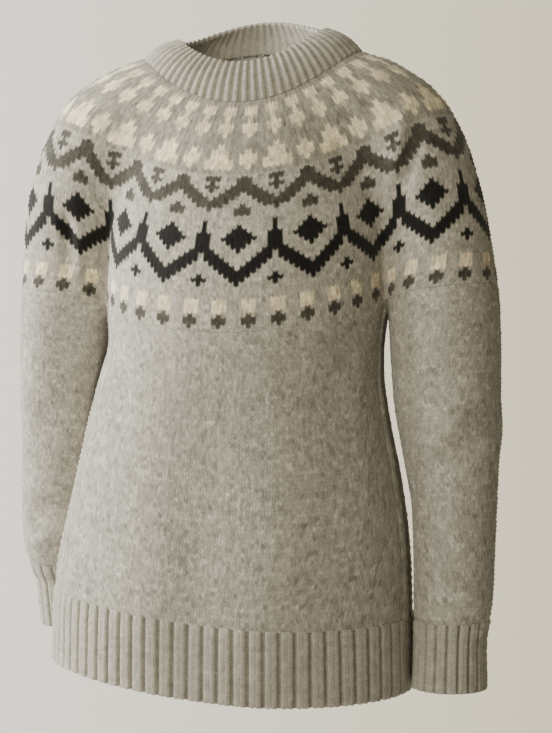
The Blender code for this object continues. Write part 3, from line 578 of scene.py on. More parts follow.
def body_grid(angles, tops, ease):
    """Body panel columns: from the yoke or the underarm seam down to the hem rib."""
    spread = angles.copy()
    spread[2:-2] = np.linspace(angles[1], angles[-2], len(angles) - 2)[1:-1]
    bottom = hem_height(spread) + HEM_RIB_DEPTH
    t = np.linspace(0.0, 1.0, BODY_ROWS + 1)
    share = t[None, :] + ease[:, None] * (t ** 2 - t)[None, :]
    z = tops[:, None, 2] + (bottom - tops[:, 2])[:, None] * share
    turned = ramp(0.0, 0.4, t)[None, :]
    grid = torso_point(angles[:, None] * (1 - turned) + spread[:, None] * turned, z)
    grid[:, 0] = tops
    return grid


def hem_height(angle):
    """The hem's lower edge: lower on the wearer's left and in the middle of the front."""
    return HEM_HEIGHT - HEM_SIDE_TILT * np.sin(angle) - HEM_FRONT_SAG * np.clip(np.cos(angle), 0, 1) ** 2


def angle_round(points):
    """Angle of each point round the torso's centre at its own height."""
    z = points[..., 2]
    return np.arctan2(points[..., 0] - torso_lane("x", z), -(points[..., 1] - torso_lane("y", z)))


def seam_split(angle, points, side):
    """The underarm seam cut where the side seam meets it: front part and back part."""
    middle = side * (math.pi / 2 - SIDE_SEAM_FORWARD)
    middle = min(max(abs(middle), abs(angle[1])), abs(angle[-2])) * side
    cut = int(np.argmin(np.abs(angle - middle)))
    return points[:cut + 1], points[cut:]


def band_grid(base, top):
    """The neckband's middle surface: it leans in and swells a little on the way."""
    t = np.linspace(0.0, 1.0, NECK_ROWS + 1)[None, :, None]
    grid = base[:, None] * (1 - t) + top[:, None] * t
    return grid + band_lean(grid) * BAND_SWELL * np.sin(math.pi * t)


def band_normals(band):
    """Outward directions on the neckband, shared with the yoke along their seam."""
    normal = band_lean(band)
    normal[:, 0] = unit(normal[:, 0] + outward(band[:, 0]))
    return normal


# Knitting
ROW_DROP = 0.20             # a stitch's legs slope: its sides lie this share of a row higher
LEG_LOW = -0.0007           # between legs and on them, out of the cloth's middle surface
LEG_HIGH = 0.0006
RIB_LOW = -0.0017
RIB_HIGH = 0.0024
TUCK_ROWS = 0.35            # a piece starts this far above its seam, under the piece before it
TUCK_DEPTH = 0.0007
SEAM_RIDGE = 0.0022         # the side seams stand proud, with a fine groove where they are sewn
SEAM_GROOVE = 0.0010

# Vertex columns across a stitch or a rib: share of its width, height 0 to 1, slope up or down
PLAIN_STITCH = ((0.00, 0.30, -1), (0.25, 1.00, 0), (0.50, 0.25, 1), (0.75, 1.00, 0))
NECK_RIB = ((0.00, 0.15, -1), (0.14, 0.90, 0), (0.31, 0.66, 1), (0.48, 0.90, 0), (0.62, 0.15, -1),
            (0.81, 0.00, 0))
BROAD_RIB = ((0.00, 0.20, -1), (0.07, 0.90, 0), (0.18, 0.76, 1), (0.29, 1.00, 0), (0.40, 0.68, -1),
             (0.51, 1.00, 0), (0.62, 0.76, 1), (0.73, 0.90, 0), (0.81, 0.20, -1), (0.905, 0.00, 0))

# Yarns: . ground, S a darker ground for the band next to the neck, C cream, D dark grey, K black
YARN_HEX = {".": "#B9B4A7", "S": "#A39E91", "C": "#F8E9C6", "D": "#504D44", "K": "#1A1916"}

# Charts of half a repeat, from its middle outwards; the top row comes first
DOT_CHART = ("CC..", "CC..", "CC..", "D...", "DD..", "DD..", "D...")
BLACK_CHART = (
    ".......K",
    "K......K",
    "KK.....K",
    "KKK...KK",
    "KKKK..KK",
    "KKK...KK",
    "KK....KK",
    "K....KKK",
    "....KKK.",
    "...KKKK.",
    "..KKKK..",
    ".KKKK...",
    "KKKK....",
    "KKK....K",
    "KK....KK",
    "K......K",
)
GREY_CHART = (
    "DD....D",
    "DD...DD",
    "D....DD",
    "DD..DDD",
    "D..DDDD",
    "..DDDD.",
    ".DDDD..",
    "DDDD...",
    "DDD...D",
    "D....DD",
    ".....DD",
)
CREAM_CHART = ("C.....", "CC...C", "CC..CC", "CCC.CC", "CCC..C")
HOURGLASS_CHART = ("CC.", "CC.", "C..", "C..", "CC.", "CC.", "C..")

# The yoke's bands from the neck down: stitches round, rows, ground, and charts, each with its
# first row, its shift in repeats and its repeats round the yoke
REPEATS = 17
PATTERN_TURN = 0.155        # the pattern lies this share of a repeat to the wearer's left
YOKE_BANDS = (
    (10 * REPEATS, 15, "S", ((HOURGLASS_CHART, 1, 0.0, 2 * REPEATS), (CREAM_CHART, 9, 0.5, REPEATS))),
    (12 * REPEATS, 11, ".", ((GREY_CHART, 0, 0.5, REPEATS),)),
    (14 * REPEATS, 19, ".", ((BLACK_CHART, 1, 0.0, REPEATS),)),
    (276, 9, ".", ((DOT_CHART, 1, 0.378, 46),)),
)
# Rows counted up from the yoke's lower edge, and how far up the centre front each lies, mm
ROW_MARKS = (0, 1, 5, 8, 11, 27, 29, 39, 40, 45, 46, 53, 54)
ROW_HEIGHTS = (0.0, 3.0, 17.5, 31.5, 44.0, 110.0, 119.5, 158.5, 163.5, 190.0, 198.0, 232.0, 239.0)
BODY_STITCH_ROWS = 66
SLEEVE_STITCH_ROWS = 76
HEM_STITCH_ROWS = 16
CUFF_STITCH_ROWS = 15
NECK_STITCH_ROWS = 12
TOP_STITCH = 0.00503        # a stitch's width along the yoke's lower edge
CUFF_STITCH = 0.0054        # and above the cuffs
SLEEVE_NODES = 90           # points round a sleeve from which its stitches are read
SLEEVE_BAND = 8             # the sleeves lose stitches under the arm every so many rows
INNER_COLUMNS = 61          # columns of points over the inside of a panel
UNEVEN_HEIGHT = 0.20        # tension: how much the height of a stitch's points varies
UNEVEN_TONE = 0.10          # spinning: tone from stitch to stitch, and again from leg to leg
UNEVEN_LEG_TONE = 0.13
HALO = 0.38                 # how far a yarn's fuzz carries its colour over its neighbours
CHANCE = np.random.default_rng(7)


def linear(hex_colour):
    """sRGB hex to linear red, green and blue."""
    parts = np.array([int(hex_colour[i:i + 2], 16) for i in (1, 3, 5)]) / 255
    return np.where(parts <= 0.04045, parts / 12.92, ((parts + 0.055) / 1.055) ** 2.4)


def between(grid, places, axis):
    """The grid read on straight lines between its points, at fractional places on an axis."""
    low = np.clip(np.floor(places).astype(int), 0, grid.shape[axis] - 2)
    shape = [1] * grid.ndim
    shape[axis] = len(places)
    share = (places - low).reshape(shape)
    return np.take(grid, low, axis) * (1 - share) + np.take(grid, low + 1, axis) * share


def spaced(grid, count):
    """Each row of the grid set out again in that many equal lengths along its line."""
    steps = np.linalg.norm(np.diff(grid, axis=0), axis=-1)
    length = np.concatenate([np.zeros((1, steps.shape[1])), np.cumsum(steps, axis=0)])
    wanted = np.linspace(0.0, 1.0, count + 1)
    rows = [np.stack([np.interp(wanted * length[-1, r], length[:, r], grid[:, r, i])
                      for i in range(3)], axis=-1) for r in range(grid.shape[1])]
    return np.stack(rows, axis=1)


def on_curve(before, here, after, beyond, t):
    """Share t of the way from here to after, on the smooth curve through all four."""
    bend = 2 * before - 5 * here + 4 * after - beyond + t * (3 * (here - after) + beyond - before)
    return here + 0.5 * t * (after - before + t * bend)


def read(grid, u, v, closed):
    """The grid at column places u, and at row places v given for each of them."""
    columns, rows = grid.shape[:2]
    first = np.floor(u).astype(int) if closed else np.clip(np.floor(u).astype(int), 0, columns - 2)
    near = [(first + k) % columns if closed else np.clip(first + k, 0, columns - 1)
            for k in (-1, 0, 1, 2)]
    lines = on_curve(*[grid[k] for k in near], (u - first)[:, None, None])
    top = np.clip(np.floor(v).astype(int), 0, rows - 2)
    four = [np.take_along_axis(lines, np.clip(top + k, 0, rows - 1)[..., None], 1)
            for k in (-1, 0, 1, 2)]
    return on_curve(*four, (v - top)[..., None])


class Fabric:
    """One knitted piece as its points and faces are added, with a yarn colour on each face."""

    def __init__(self):
        self.points, self.depths, self.rims = [], [], []
        self.faces = {3: [], 4: []}
        self.colours = {3: [], 4: []}
        self.count = 0

    def add(self, points, depth):
        """Adds a grid of points and returns their numbers, laid out as they are."""
        numbers = np.arange(depth.size).reshape(depth.shape) + self.count
        self.points.append(points.reshape(-1, 3))
        self.depths.append(depth.ravel())
        self.count += depth.size
        return numbers

    def cover(self, numbers, colour, closed):
        """Quads between neighbouring columns and rows; colour has one entry for each."""
        after = np.roll(numbers, -1, 0) if closed else numbers[1:]
        here = numbers if closed else numbers[:-1]
        quads = np.stack([here[:, :-1], here[:, 1:], after[:, 1:], after[:, :-1]], -1)
        self.faces[4].append(quads.reshape(-1, 4))
        self.colours[4].append(np.broadcast_to(colour, quads.shape[:2] + (3,)).reshape(-1, 3))

    def join(self, upper, lower, colour, closed):
        """Triangles between two lines of points that may differ in number.

        Both lines run from share 0 to 1. Sorting the middles of all their steps gives the
        order in which one line or the other moves on, and each move makes one triangle.
        """
        moves = [len(line) if closed else len(line) - 1 for line in (upper, lower)]
        middles = np.concatenate([(np.arange(count) + 0.5) / count for count in moves])
        on_upper = np.argsort(middles, kind="stable") < moves[0]
        i = np.cumsum(on_upper) - on_upper
        j = np.cumsum(~on_upper) - ~on_upper
        a, b = upper[i % len(upper)], lower[j % len(lower)]
        third = np.where(on_upper, upper[(i + 1) % len(upper)], lower[(j + 1) % len(lower)])
        triangles = np.stack([a, b, third], -1)
        self.faces[3].append(triangles)
        self.colours[3].append(np.broadcast_to(colour, triangles.shape))

    def close(self, outer, inner, closed):
        """Faces over the wall's edge from its inner line of points to its outer one."""
        self.join(inner, outer, GROUND, closed)
        self.rims.append(outer)

    def piece(self, name, material):
        """The finished object, with its place in its mesh and its colours on face corners."""
        faces = {size: np.concatenate(parts) for size, parts in self.faces.items() if parts}
        mesh = bpy.data.meshes.new(name)
        points = np.concatenate(self.points)
        mesh.vertices.add(len(points))
        mesh.vertices.foreach_set("co", points.ravel().astype(np.float32))
        corners = np.concatenate([part.ravel() for part in faces.values()])
        sizes = np.concatenate([np.full(len(part), size) for size, part in faces.items()])
        mesh.loops.add(len(corners))
        mesh.loops.foreach_set("vertex_index", corners.astype(np.int32))
        mesh.polygons.add(len(sizes))
        mesh.polygons.foreach_set("loop_start", (np.cumsum(sizes) - sizes).astype(np.int32))
        mesh.update(calc_edges=True)
        mesh.shade_smooth()
        on_rim = np.zeros(len(points), bool)
        on_rim[np.concatenate(self.rims)] = True
        ends = np.empty(2 * len(mesh.edges), np.int32)
        mesh.edges.foreach_get("vertices", ends)
        sharp = mesh.attributes.new("sharp_edge", "BOOLEAN", "EDGE")
        sharp.data.foreach_set("value", on_rim[ends.reshape(-1, 2)].all(1))
        colours = np.concatenate([np.repeat(np.concatenate(self.colours[size]), size, axis=0)
                                  for size in faces])
        uses = np.bincount(corners, minlength=len(points)).clip(1)
        near = np.stack([np.bincount(corners, colours[:, i], len(points)) / uses for i in range(3)], -1)
        colours = colours * (1 - HALO) + near[corners] * HALO
        colours = np.concatenate([colours, np.ones((len(colours), 1))], axis=1)
        yarn = mesh.color_attributes.new("yarn", "FLOAT_COLOR", "CORNER")
        yarn.data.foreach_set("color", colours.ravel().astype(np.float32))
        # depth holds each point's height in the relief, and the material paints shade into the gaps from
        # it
        depth = mesh.attributes.new("depth", "FLOAT", "POINT")
        depth.data.foreach_set("value", np.concatenate(self.depths).astype(np.float32))
        mesh.materials.append(material)
        made = bpy.data.objects.new(name, mesh)
        bpy.context.scene.collection.objects.link(made)
        return made


def charted(stitches, rows, ground, charts, unevenness):
    """Yarn colour of each stitch: a chart is mirrored about its first column and repeated."""
    yarns = np.full((stitches, rows), ground)
    for chart, first_row, shift, repeats in charts:
        repeat = stitches / repeats
        shift = shift + PATTERN_TURN * repeats / REPEATS
        place = np.mod(np.round(np.arange(stitches) - shift * repeat), repeat)
        column_read = np.minimum(place, repeat - place).astype(int)
        for number, line in enumerate(chart):
            read_line = np.array(list(line))[column_read]
            yarns[:, first_row + number] = np.where(read_line == ".", ground, read_line)
    colours = np.zeros((stitches, rows, 3))
    for letter, hex_colour in YARN_HEX.items():
        colours[yarns == letter] = linear(hex_colour)
    return colours * (1 + unevenness * UNEVEN_TONE * CHANCE.standard_normal((stitches, rows, 1)))


def no_lift(u, columns):
    """A piece with no seam of its own."""
    return np.zeros(len(u))


def seam_lift(u, columns):
    """The side seam: a ridge 3 mm from the edge, and a groove where the panels are sewn."""
    from_edge = np.minimum(u, columns - u) * TOP_STITCH
    ridge = np.exp(-((from_edge - 0.003) / 0.0025) ** 2)
    return SEAM_RIDGE * ridge - SEAM_GROOVE * np.exp(-(from_edge / 0.0012) ** 2)


def stitched(fabric, nodes, normals, band, profile, heights, start, closed, lift=no_lift):
    """Knits one band of stitches or ribs over the cloth and returns its points' numbers.

    A band is (stitches, rows, ground, charts, first row, skip). Point (i, j) lies at share
    u = (stitch + its profile's share) / stitches round the cloth, at row place
    v = j / 2 + slope * ROW_DROP, and out of the cloth by low + rise * (high - low), where
    rise is the profile's height, less at the joints between rows.
    """
    stitches, rows, ground, charts, first_row, skip = band
    low, high, joint_height, unevenness = heights
    columns = nodes.shape[0] if closed else nodes.shape[0] - 1
    share, height, slope = np.array(profile).T
    number = np.arange(stitches)
    u = (number[:, None] + start + share[None, :]).ravel() * columns / stitches
    rise = np.tile(height, stitches)
    slope = np.tile(slope, stitches)
    if not closed:
        u, rise, slope = np.append(u, columns), np.append(rise, height[0]), np.append(slope, -1)
    half_rows = np.arange(skip, 2 * rows + 1)
    v = first_row + half_rows[None, :] / 2 + slope[:, None] * ROW_DROP
    joint = np.where(half_rows % 2 == 0, joint_height, 1.0)
    uneven = 1 + unevenness * UNEVEN_HEIGHT * CHANCE.standard_normal((len(u), len(half_rows)))
    rise = rise[:, None] * np.where(rise[:, None] > 0.5, joint, 1.0) * uneven
    spot = read(nodes, u, v, closed)
    way = unit(read(normals, u, v, closed))
    out = low + rise * (high - low) + lift(u, columns)[:, None]
    # each point's height in the relief is kept, and the material paints shade into the low ones from it
    numbers = fabric.add(spot + way * out[..., None], np.clip(rise, 0.0, 1.0))
    legs = np.repeat(charted(stitches, rows, ground, charts, unevenness), 2, 0)
    legs = legs * (1 + unevenness * UNEVEN_LEG_TONE * CHANCE.standard_normal((2 * stitches, rows, 1)))
    colour = legs[(2 * number[:, None] + (share >= 0.5)).ravel()]
    fabric.cover(numbers, np.repeat(colour, 2, 1)[:, skip:], closed)
    return numbers


def tucked(nodes, normals):
    """The nodes with their first row moved up under the piece before, and a little in."""
    nodes = nodes.copy()
    nodes[:, 0] += (nodes[:, 0] - nodes[:, 1]) * TUCK_ROWS - normals[:, 0] * TUCK_DEPTH
    return nodes


def tube(name, nodes, normals, bands, profile, heights, depth, material, start, ribs_inside=0.0):
    """A closed tube of knitting: bands of stitches outside, a wall's depth, the inside."""
    fabric = Fabric()
    first_row, before, top_edge = 0, None, None
    for stitches, rows, ground, charts in bands:
        skip = 0 if before is None else 1
        band = (stitches, rows, ground, charts, first_row, skip)
        numbers = stitched(fabric, nodes, normals, band, profile, heights, start, True)
        if before is None:
            top_edge = numbers[:, 0]
        else:
            fabric.join(before, numbers[:, 0], linear(YARN_HEX[ground]), True)
        before = numbers[:, -1]
        first_row += rows
    share = np.array(profile)[:, 0] if ribs_inside else np.array([0.0])
    count = bands[0][0] if ribs_inside else len(nodes) // 2
    u = ((np.arange(count)[:, None] + (start if ribs_inside else 0) + share).ravel()
         * len(nodes) / count)
    v = np.linspace(0.0, first_row, first_row // (1 if ribs_inside else 2) + 1)
    v = np.broadcast_to(v, (len(u), len(v)))
    way = unit(read(normals, u, v, True))
    dip = ribs_inside * np.tile(1 - np.array(profile)[:, 1], count) if ribs_inside else 0.0 * u
    inside = read(nodes, u, v, True) - way * (depth + dip)[:, None, None]
    # the inside gets a fixed relief height of 0.7, which paints a little shade on it
    inner = fabric.add(inside, np.full(v.shape, 0.7))
    fabric.cover(inner[:, ::-1], GROUND, True)
    fabric.close(before[::-1], inner[::-1, -1], True)
    fabric.close(top_edge, inner[:, 0], True)
    return fabric.piece(name, material)


def panel(name, nodes, normals, stitches, rows, profile, heights, depth, material, lift=no_lift):
    """An open panel of knitting between two side seams, with its four edges closed."""
    fabric = Fabric()
    outer = stitched(fabric, nodes, normals, (stitches, rows, ".", (), 0, 0), profile, heights, 0.0,
                     False, lift)
    u = np.linspace(0.0, len(nodes) - 1, INNER_COLUMNS)
    v = np.broadcast_to(np.linspace(0.0, rows, outer.shape[1]), (INNER_COLUMNS, outer.shape[1]))
    inside = read(nodes, u, v, False) - unit(read(normals, u, v, False)) * depth
    # the inside gets a fixed relief height of 0.7, which paints a little shade on it
    inner = fabric.add(inside, np.full(v.shape, 0.7))
    fabric.cover(inner[:, ::-1], GROUND, False)
    fabric.close(outer[-1], inner[-1], False)
    fabric.close(outer[0][::-1], inner[0][::-1], False)
    fabric.close(outer[:, 0], inner[:, 0], False)
    fabric.close(outer[::-1, -1], inner[::-1, -1], False)
    return fabric.piece(name, material)


def dress(piece, names):
    """Puts a piece under the root body and hides the part's nodes it stands for."""
    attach(piece, "root")
    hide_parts(*names)


def with_first_again(columns):
    """A closed grid's columns with the first one repeated at the end."""
    return np.concatenate([columns, columns[:1]])


def on_cloth(nodes):
    """Inner rows of points put exactly on the cloth, and the way out of it at each point."""
    nodes = nodes.copy()
    nodes[:, 1:-1] = settle(nodes[:, 1:-1], 2)
    return nodes, outward(nodes)


def yoke_nodes(ring, base):
    """One point a stitch and a row: rings in even lengths, rows at their own heights.

    A row marked at m on the centre front lies at m + (L - M) * (m / M) ** 2.5 up a column of
    length L, M being the last mark, so that a longer column gets its extra length high up.
    """
    grid = with_first_again(relaxed_grid(base[::2], ring, YOKE_ROWS))
    grid = between(between(grid, np.linspace(0, NECK_RIBS, 4 * NECK_RIBS + 1), 0),
                   np.linspace(0, YOKE_ROWS, 4 * YOKE_ROWS + 1), 1)
    grid[:, 1:-1] = settle(grid[:, 1:-1], 2)
    centre_front = 2 * YOKE_FRONT_COLUMNS
    grid = with_first_again(np.roll(grid[:-1], -centre_front, 0))
    grid = spaced(grid, YOKE_BANDS[-1][0])[:-1]
    length = np.cumsum(np.linalg.norm(np.diff(grid[:, ::-1], axis=1), axis=-1), axis=1)
    length = np.concatenate([np.zeros((len(grid), 1)), length], axis=1)
    mark = np.interp(np.arange(ROW_MARKS[-1] + 1), ROW_MARKS, ROW_HEIGHTS) / 1000
    spare = length[:, -1:] - mark[-1]
    wanted = mark[None, :] + spare * (mark[None, :] / mark[-1]) ** 2.5
    columns = [np.stack([np.interp(wanted[c], length[c], grid[c, ::-1, i]) for i in range(3)], -1)
               for c in range(len(grid))]
    return on_cloth(np.stack(columns)[:, ::-1])


def body_nodes(name, edges, underarms):
    """A body panel's points, its side edges those of the part."""
    left_front, left_back = seam_split(*underarms[1], 1)
    right_front, right_back = seam_split(*underarms[-1], -1)
    if name == "front":
        tops = np.concatenate([right_front[::-1][:-1], edges["front"], left_front[1:]])
        ends = (len(right_front), len(left_front))
    else:
        tops = np.concatenate([left_back[:-1], edges["back"], right_back[::-1][1:]])
        ends = (len(left_back), len(right_back))
    ease = np.zeros(len(tops))
    ease[:ends[0]] = ramp(-1, ends[0] - 1, np.arange(ends[0])[::-1])
    ease[-ends[1]:] = ramp(-1, ends[1] - 1, np.arange(ends[1]))
    tops, ease = with_welts(tops, ease)
    angles = np.unwrap(angle_round(tops))
    grid = body_grid(angles, tops, ease)
    length = np.linalg.norm(np.diff(tops, axis=0), axis=1).sum()
    stitches = int(round(length / TOP_STITCH))
    grid = between(grid, np.linspace(0, BODY_ROWS, BODY_STITCH_ROWS + 1), 1)
    nodes, normals = on_cloth(spaced(grid, stitches))
    return stitches, angles, tucked(nodes, normals), normals


def hem_nodes(name, first, last):
    """Two points for each rib of a hem piece, the ribs opening out as the part's do."""
    share = np.linspace(0.0, 1.0, 2 * HEM_RIBS + 1)
    share = share + RIB_SPREAD[name] * share * (1 - share)
    fine = np.linspace(first, last, 241)
    points = torso_point(fine, np.full(241, HEM_HEIGHT + HEM_RIB_DEPTH / 2))
    length = lengths_along(points)
    angles = np.interp(share * length[-1], length, fine)
    t = np.linspace(0.0, 1.0, 5)
    z = (hem_height(angles) + HEM_RIB_DEPTH)[:, None] - HEM_RIB_DEPTH * t[None, :]
    grid = torso_point(np.broadcast_to(angles[:, None], z.shape), z)
    grid = between(grid, np.linspace(0, 4, HEM_STITCH_ROWS + 1), 1)
    normals = outward(grid)
    return tucked(grid, normals), normals


def sleeve_nodes(side, over, seam):
    """A sleeve's points, from the middle of its outer side round, and its bands."""
    under = seam[1]
    back_to_start = under[::-1] if side > 0 else under
    tops = np.concatenate([over, back_to_start[1:-1]])
    section = sleeve_centre(side, tops[:, 2])
    angles = np.unwrap(np.arctan2(tops[:, 0] - section[:, 0], -(tops[:, 1] - section[:, 1])))
    turn = 2 * math.pi * np.sign(angles[1] - angles[0])
    count = len(tops)
    even_angles = angles[0] + turn * np.arange(count) / count
    t = np.linspace(0.0, 1.0, SLEEVE_ROWS + 1)
    under_arm = np.arange(count) > count - UNDERARM_COLUMNS
    lowered = ramp(-0.5, 1.5, under_arm.astype(float))
    share = t[None, :] + lowered[:, None] * (t ** 1.7 - t)[None, :]
    settle_in = 0.4 * ramp(0.0, 0.8, t)[None, :]
    z = tops[:, None, 2] + (CUFF_SPAN[side][0] - tops[:, 2])[:, None] * share
    angle = angles[:, None] * (1 - settle_in) + even_angles[:, None] * settle_in
    grid = sleeve_point(side, angle, z)
    grid[:, 0] = tops
    grid = between(between(with_first_again(grid), np.linspace(0, count, 4 * count + 1), 0),
                   np.linspace(0, SLEEVE_ROWS, SLEEVE_STITCH_ROWS + 1), 1)
    grid = with_first_again(np.roll(grid[:-1], -2 * YOKE_SLEEVE_COLUMNS, 0))
    nodes, normals = on_cloth(spaced(grid, SLEEVE_NODES)[:-1])
    round_it = np.linalg.norm(np.roll(nodes, -1, 0) - nodes, axis=-1).sum(0)
    bands = []
    for row in range(0, SLEEVE_STITCH_ROWS, SLEEVE_BAND):
        rows = min(SLEEVE_BAND, SLEEVE_STITCH_ROWS - row)
        width = TOP_STITCH + (CUFF_STITCH - TOP_STITCH) * row / SLEEVE_STITCH_ROWS
        bands.append((int(round(round_it[row + rows // 2] / width)), rows, ".", ()))
    return tucked(nodes, normals), normals, bands, even_angles[0]


def cuff_nodes(side, first):
    """Three points for each rib of a cuff."""
    angles = first + 2 * math.pi * np.arange(3 * CUFF_RIBS) / (3 * CUFF_RIBS)
    top, bottom = CUFF_SPAN[side]
    grid = sleeve_point(side, angles[:, None], np.linspace(top, bottom, CUFF_STITCH_ROWS + 1))
    normals = outward(grid)
    return tucked(grid, normals), normals


# Materials
def node(tree, kind, inputs=(), **settings):
    """Adds a shader node: its own settings, then its sockets as values or linked outputs."""
    made = tree.nodes.new(kind)
    for key, value in settings.items():
        setattr(made, key, value)
    for key, value in dict(inputs).items():
        if isinstance(value, bpy.types.NodeSocket):
            tree.links.new(value, made.inputs[key])
        else:
            made.inputs[key].default_value = value
    return made


def wool(name, painted_gap_shade):
    """Loosely spun unbleached wool: matt, marled from stitch to stitch, with loose fibres.

    The yarn's own colour comes from the stitch. Soft patches 9 mm across and flecks of 1 mm
    make the heather, painted shade darkens the gaps between legs, and a sheen stands for the fuzz.
    """
    made = bpy.data.materials.new(name)
    made.use_nodes = True
    tree = made.node_tree
    shader = tree.nodes["Principled BSDF"]
    place = node(tree, "ShaderNodeTexCoord").outputs["Object"]
    yarn = node(tree, "ShaderNodeAttribute", attribute_name="yarn").outputs["Color"]
    depth = node(tree, "ShaderNodeAttribute", attribute_name="depth").outputs["Fac"]
    patches = node(tree, "ShaderNodeTexNoise", {"Vector": place, "Scale": 1 / 0.009, "Detail": 2.0})
    drawn = node(tree, "ShaderNodeMapping", {"Vector": place, "Scale": (1.0, 1.0, 0.5)})
    fibres = node(tree, "ShaderNodeTexNoise", {"Vector": drawn.outputs["Vector"], "Scale": 1 / 0.001,
                                               "Detail": 3.0})
    heather_and_gap_shade = 1.0
    # the last factor is painted shade: the lower a point lies in the stitch relief, in the gaps between
    # legs and in the rib furrows, the darker it is painted
    for value, low, high, dark, light in ((patches.outputs["Fac"], 0.3, 0.7, 0.88, 1.08),
                                          (fibres.outputs["Fac"], 0.3, 0.7, 0.72, 1.22),
                                          (depth, 0.0, 0.9, painted_gap_shade, 1.0)):
        part = node(tree, "ShaderNodeMapRange", {"Value": value, "From Min": low, "From Max": high,
                                                 "To Min": dark, "To Max": light})
        heather_and_gap_shade = node(tree, "ShaderNodeMath", {0: part.outputs["Result"], 1: heather_and_gap_shade},
                    operation="MULTIPLY").outputs["Value"]
    colour = node(tree, "ShaderNodeVectorMath", {0: yarn, "Scale": heather_and_gap_shade}, operation="SCALE")
    tree.links.new(colour.outputs["Vector"], shader.inputs["Base Color"])
    fuzz = node(tree, "ShaderNodeBump", {"Height": fibres.outputs["Fac"], "Strength": 0.6,
                                         "Distance": 0.0006})
    tree.links.new(fuzz.outputs["Normal"], shader.inputs["Normal"])
    shader.inputs["Roughness"].default_value = 0.93
    shader.inputs["Specular IOR Level"].default_value = 0.25
    shader.inputs["Sheen Weight"].default_value = 0.22
    shader.inputs["Sheen Roughness"].default_value = 0.5
    return made


GROUND = linear(YARN_HEX["."])
# each material's number is how dark the painted shade in its gaps between legs and rib furrows goes
PLAIN_WOOL = wool("plain_knit_wool", 0.74)
YOKE_WOOL = wool("stranded_knit_wool", 0.82)
RIB_WOOL = wool("ribbed_knit_wool", 0.60)
NECK_WOOL = wool("firm_ribbed_wool", 0.76)
# Lowest and highest relief, how high a leg is where it dives under the next, and the share of
# the unevenness above that the stitches have
PLAIN_RELIEF = (LEG_LOW, LEG_HIGH, 0.42, 1.0)
RIB_RELIEF = (RIB_LOW, RIB_HIGH, 0.88, 0.3)
NECK_RELIEF = (-0.0013, 0.0017, 0.86, 0.3)

# The garment
edges, ring, underarms = yoke_lower_edge()
base, top = neck_edges(NECK_RIBS * 2, -math.pi * 0.5)
turned = 2 * int(np.argmin(np.abs(np.arctan2(base[::2, 0], -base[::2, 1])
                                  - math.radians(-360 * (YOKE_FRONT_COLUMNS / 2) / NECK_RIBS))))
base, top = np.roll(base, -turned, 0), np.roll(top, -turned, 0)

nodes, normals = yoke_nodes(ring, base)
yoke = tube("stranded_yoke", nodes, normals, YOKE_BANDS, PLAIN_STITCH, PLAIN_RELIEF, WALL, YOKE_WOOL,
            -0.5)
dress(yoke, ["yoke"])

band = band_grid(base, top)
rows = np.linspace(NECK_ROWS, 0, NECK_STITCH_ROWS + 1)
rows = np.broadcast_to(rows, (len(band), len(rows)))
nodes = read(band, np.arange(len(band)), rows, True)
normals = read(band_normals(band), np.arange(len(band)), rows, True)
neckband = tube("ribbed_neckband", nodes, normals, ((NECK_RIBS, NECK_STITCH_ROWS, ".", ()),),
                NECK_RIB, NECK_RELIEF, NECK_WALL, NECK_WOOL, 0.19, ribs_inside=0.001)
dress(neckband, ["neckband"])

for name in ("front", "back"):
    stitches, angles, nodes, normals = body_nodes(name, edges, underarms)
    body = panel("knitted_" + name, nodes, normals, stitches, BODY_STITCH_ROWS, PLAIN_STITCH,
                 PLAIN_RELIEF, WALL, PLAIN_WOOL, seam_lift)
    dress(body, ["body_" + name])
    nodes, normals = hem_nodes(name, angles[0], angles[-1])
    hem = panel("ribbed_hem_" + name, nodes, normals, HEM_RIBS, HEM_STITCH_ROWS, BROAD_RIB,
                RIB_RELIEF, WALL, RIB_WOOL)
    dress(hem, ["hem_rib_" + name])

for side, over, name in ((1, "over_left", "left"), (-1, "over_right", "right")):
    nodes, normals, bands, first = sleeve_nodes(side, edges[over], underarms[side])
    sleeve = tube("knitted_sleeve_" + name, nodes, normals, bands, PLAIN_STITCH, PLAIN_RELIEF, WALL,
                  PLAIN_WOOL, -0.5)
    dress(sleeve, ["sleeve_" + name])
    nodes, normals = cuff_nodes(side, first)
    cuff = tube("ribbed_cuff_" + name, nodes, normals, ((CUFF_RIBS, CUFF_STITCH_ROWS, ".", ()),),
                BROAD_RIB, RIB_RELIEF, WALL, RIB_WOOL, 0.12)
    dress(cuff, ["cuff_" + name])

# Stage
FLOOR_RADIUS = 2.4
FLOOR_HEIGHT = -1.42        # where the wearer's feet would be
turn = np.linspace(0, 2 * math.pi, 65)[:-1]
rim = np.stack([FLOOR_RADIUS * np.cos(turn), FLOOR_RADIUS * np.sin(turn),
                np.full(len(turn), FLOOR_HEIGHT)], axis=1)
floor_mesh = bpy.data.meshes.new("floor")
floor_mesh.from_pydata(rim.tolist(), [], [list(range(len(turn)))])
floor = bpy.data.objects.new("floor", floor_mesh)
bpy.context.scene.collection.objects.link(floor)
floor_paint = bpy.data.materials.new("matt_pale_paint")
floor_paint.use_nodes = True
paint = floor_paint.node_tree.nodes["Principled BSDF"]
paint.inputs["Base Color"].default_value = (0.62, 0.61, 0.58, 1)
paint.inputs["Roughness"].default_value = 0.9
floor_mesh.materials.append(floor_paint)

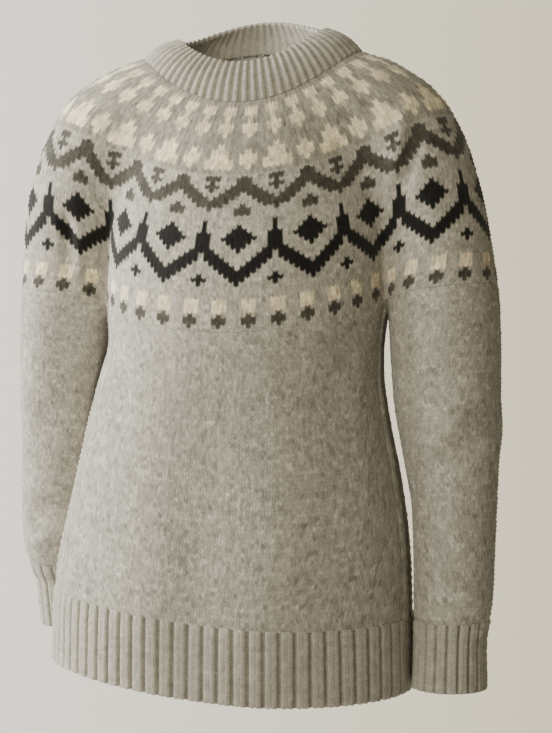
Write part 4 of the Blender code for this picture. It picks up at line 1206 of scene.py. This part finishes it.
# Soft light: a pale wall behind, brighter from the viewer's left and warmer on the right
world = bpy.data.worlds.new("studio")
world.use_nodes = True
sky = world.node_tree
bpy.context.scene.world = world
toward = node(sky, "ShaderNodeTexCoord").outputs["Generated"]
facing = node(sky, "ShaderNodeSeparateXYZ", {"Vector": toward})
sideways = node(sky, "ShaderNodeMapRange", {"Value": facing.outputs["X"], "From Min": -0.35,
                                            "From Max": 0.9, "To Min": 0.81, "To Max": 0.07})
behind = node(sky, "ShaderNodeMapRange", {"Value": facing.outputs["Y"], "From Min": -0.1,
                                          "From Max": 0.8, "To Min": 0.6, "To Max": 1.9})
bright = node(sky, "ShaderNodeMath", {0: sideways.outputs["Result"], 1: behind.outputs["Result"]},
              operation="MULTIPLY")
warmth = node(sky, "ShaderNodeMapRange", {"Value": facing.outputs["X"], "From Min": -0.38,
                                          "From Max": 0.08})
tint = node(sky, "ShaderNodeMix", {"Factor": warmth.outputs["Result"], "A": (1.0, 0.965, 0.86, 1),
                                   "B": (1.0, 0.89, 0.60, 1)}, data_type="RGBA")
sky.links.new(tint.outputs["Result"], sky.nodes["Background"].inputs["Color"])
sky.links.new(bright.outputs["Value"], sky.nodes["Background"].inputs["Strength"])


def lamp(name, place, target, size, power, colour):
    """A square area light at a place, turned to face a target."""
    light = bpy.data.lights.new(name, "AREA")
    light.size = size
    light.energy = power
    light.color = colour
    made = bpy.data.objects.new(name, light)
    made.location = place
    made.rotation_euler = (Vector(target) - Vector(place)).to_track_quat("-Z", "Y").to_euler()
    bpy.context.scene.collection.objects.link(made)


lamp("window", (-1.95, -0.35, 0.5), (0, 0, -0.3), 1.4, 98, (1.0, 0.99, 0.965))
lamp("room", (-0.4, -1.3, 0.25), (0, 0, -0.3), 1.0, 11.5, (1.0, 0.94, 0.80))

# Camera: level, 8.5 degrees round to the wearer's right
AZIMUTH = math.radians(8.5)
DISTANCE = 1.6
MIDDLE_HEIGHT = -0.325
SIDE_SHIFT = 0.023
right = Vector((math.cos(AZIMUTH), math.sin(AZIMUTH), 0))
away = Vector((-math.sin(AZIMUTH), math.cos(AZIMUTH), 0))
camera_data = bpy.data.cameras.new("camera")
camera_data.sensor_width = 36
camera_data.lens = 74.8
camera = bpy.data.objects.new("camera", camera_data)
camera.location = Vector((0, 0, MIDDLE_HEIGHT)) + right * SIDE_SHIFT - away * DISTANCE
camera.rotation_euler = away.to_track_quat("-Z", "Y").to_euler()
bpy.context.scene.collection.objects.link(camera)
bpy.context.scene.camera = camera
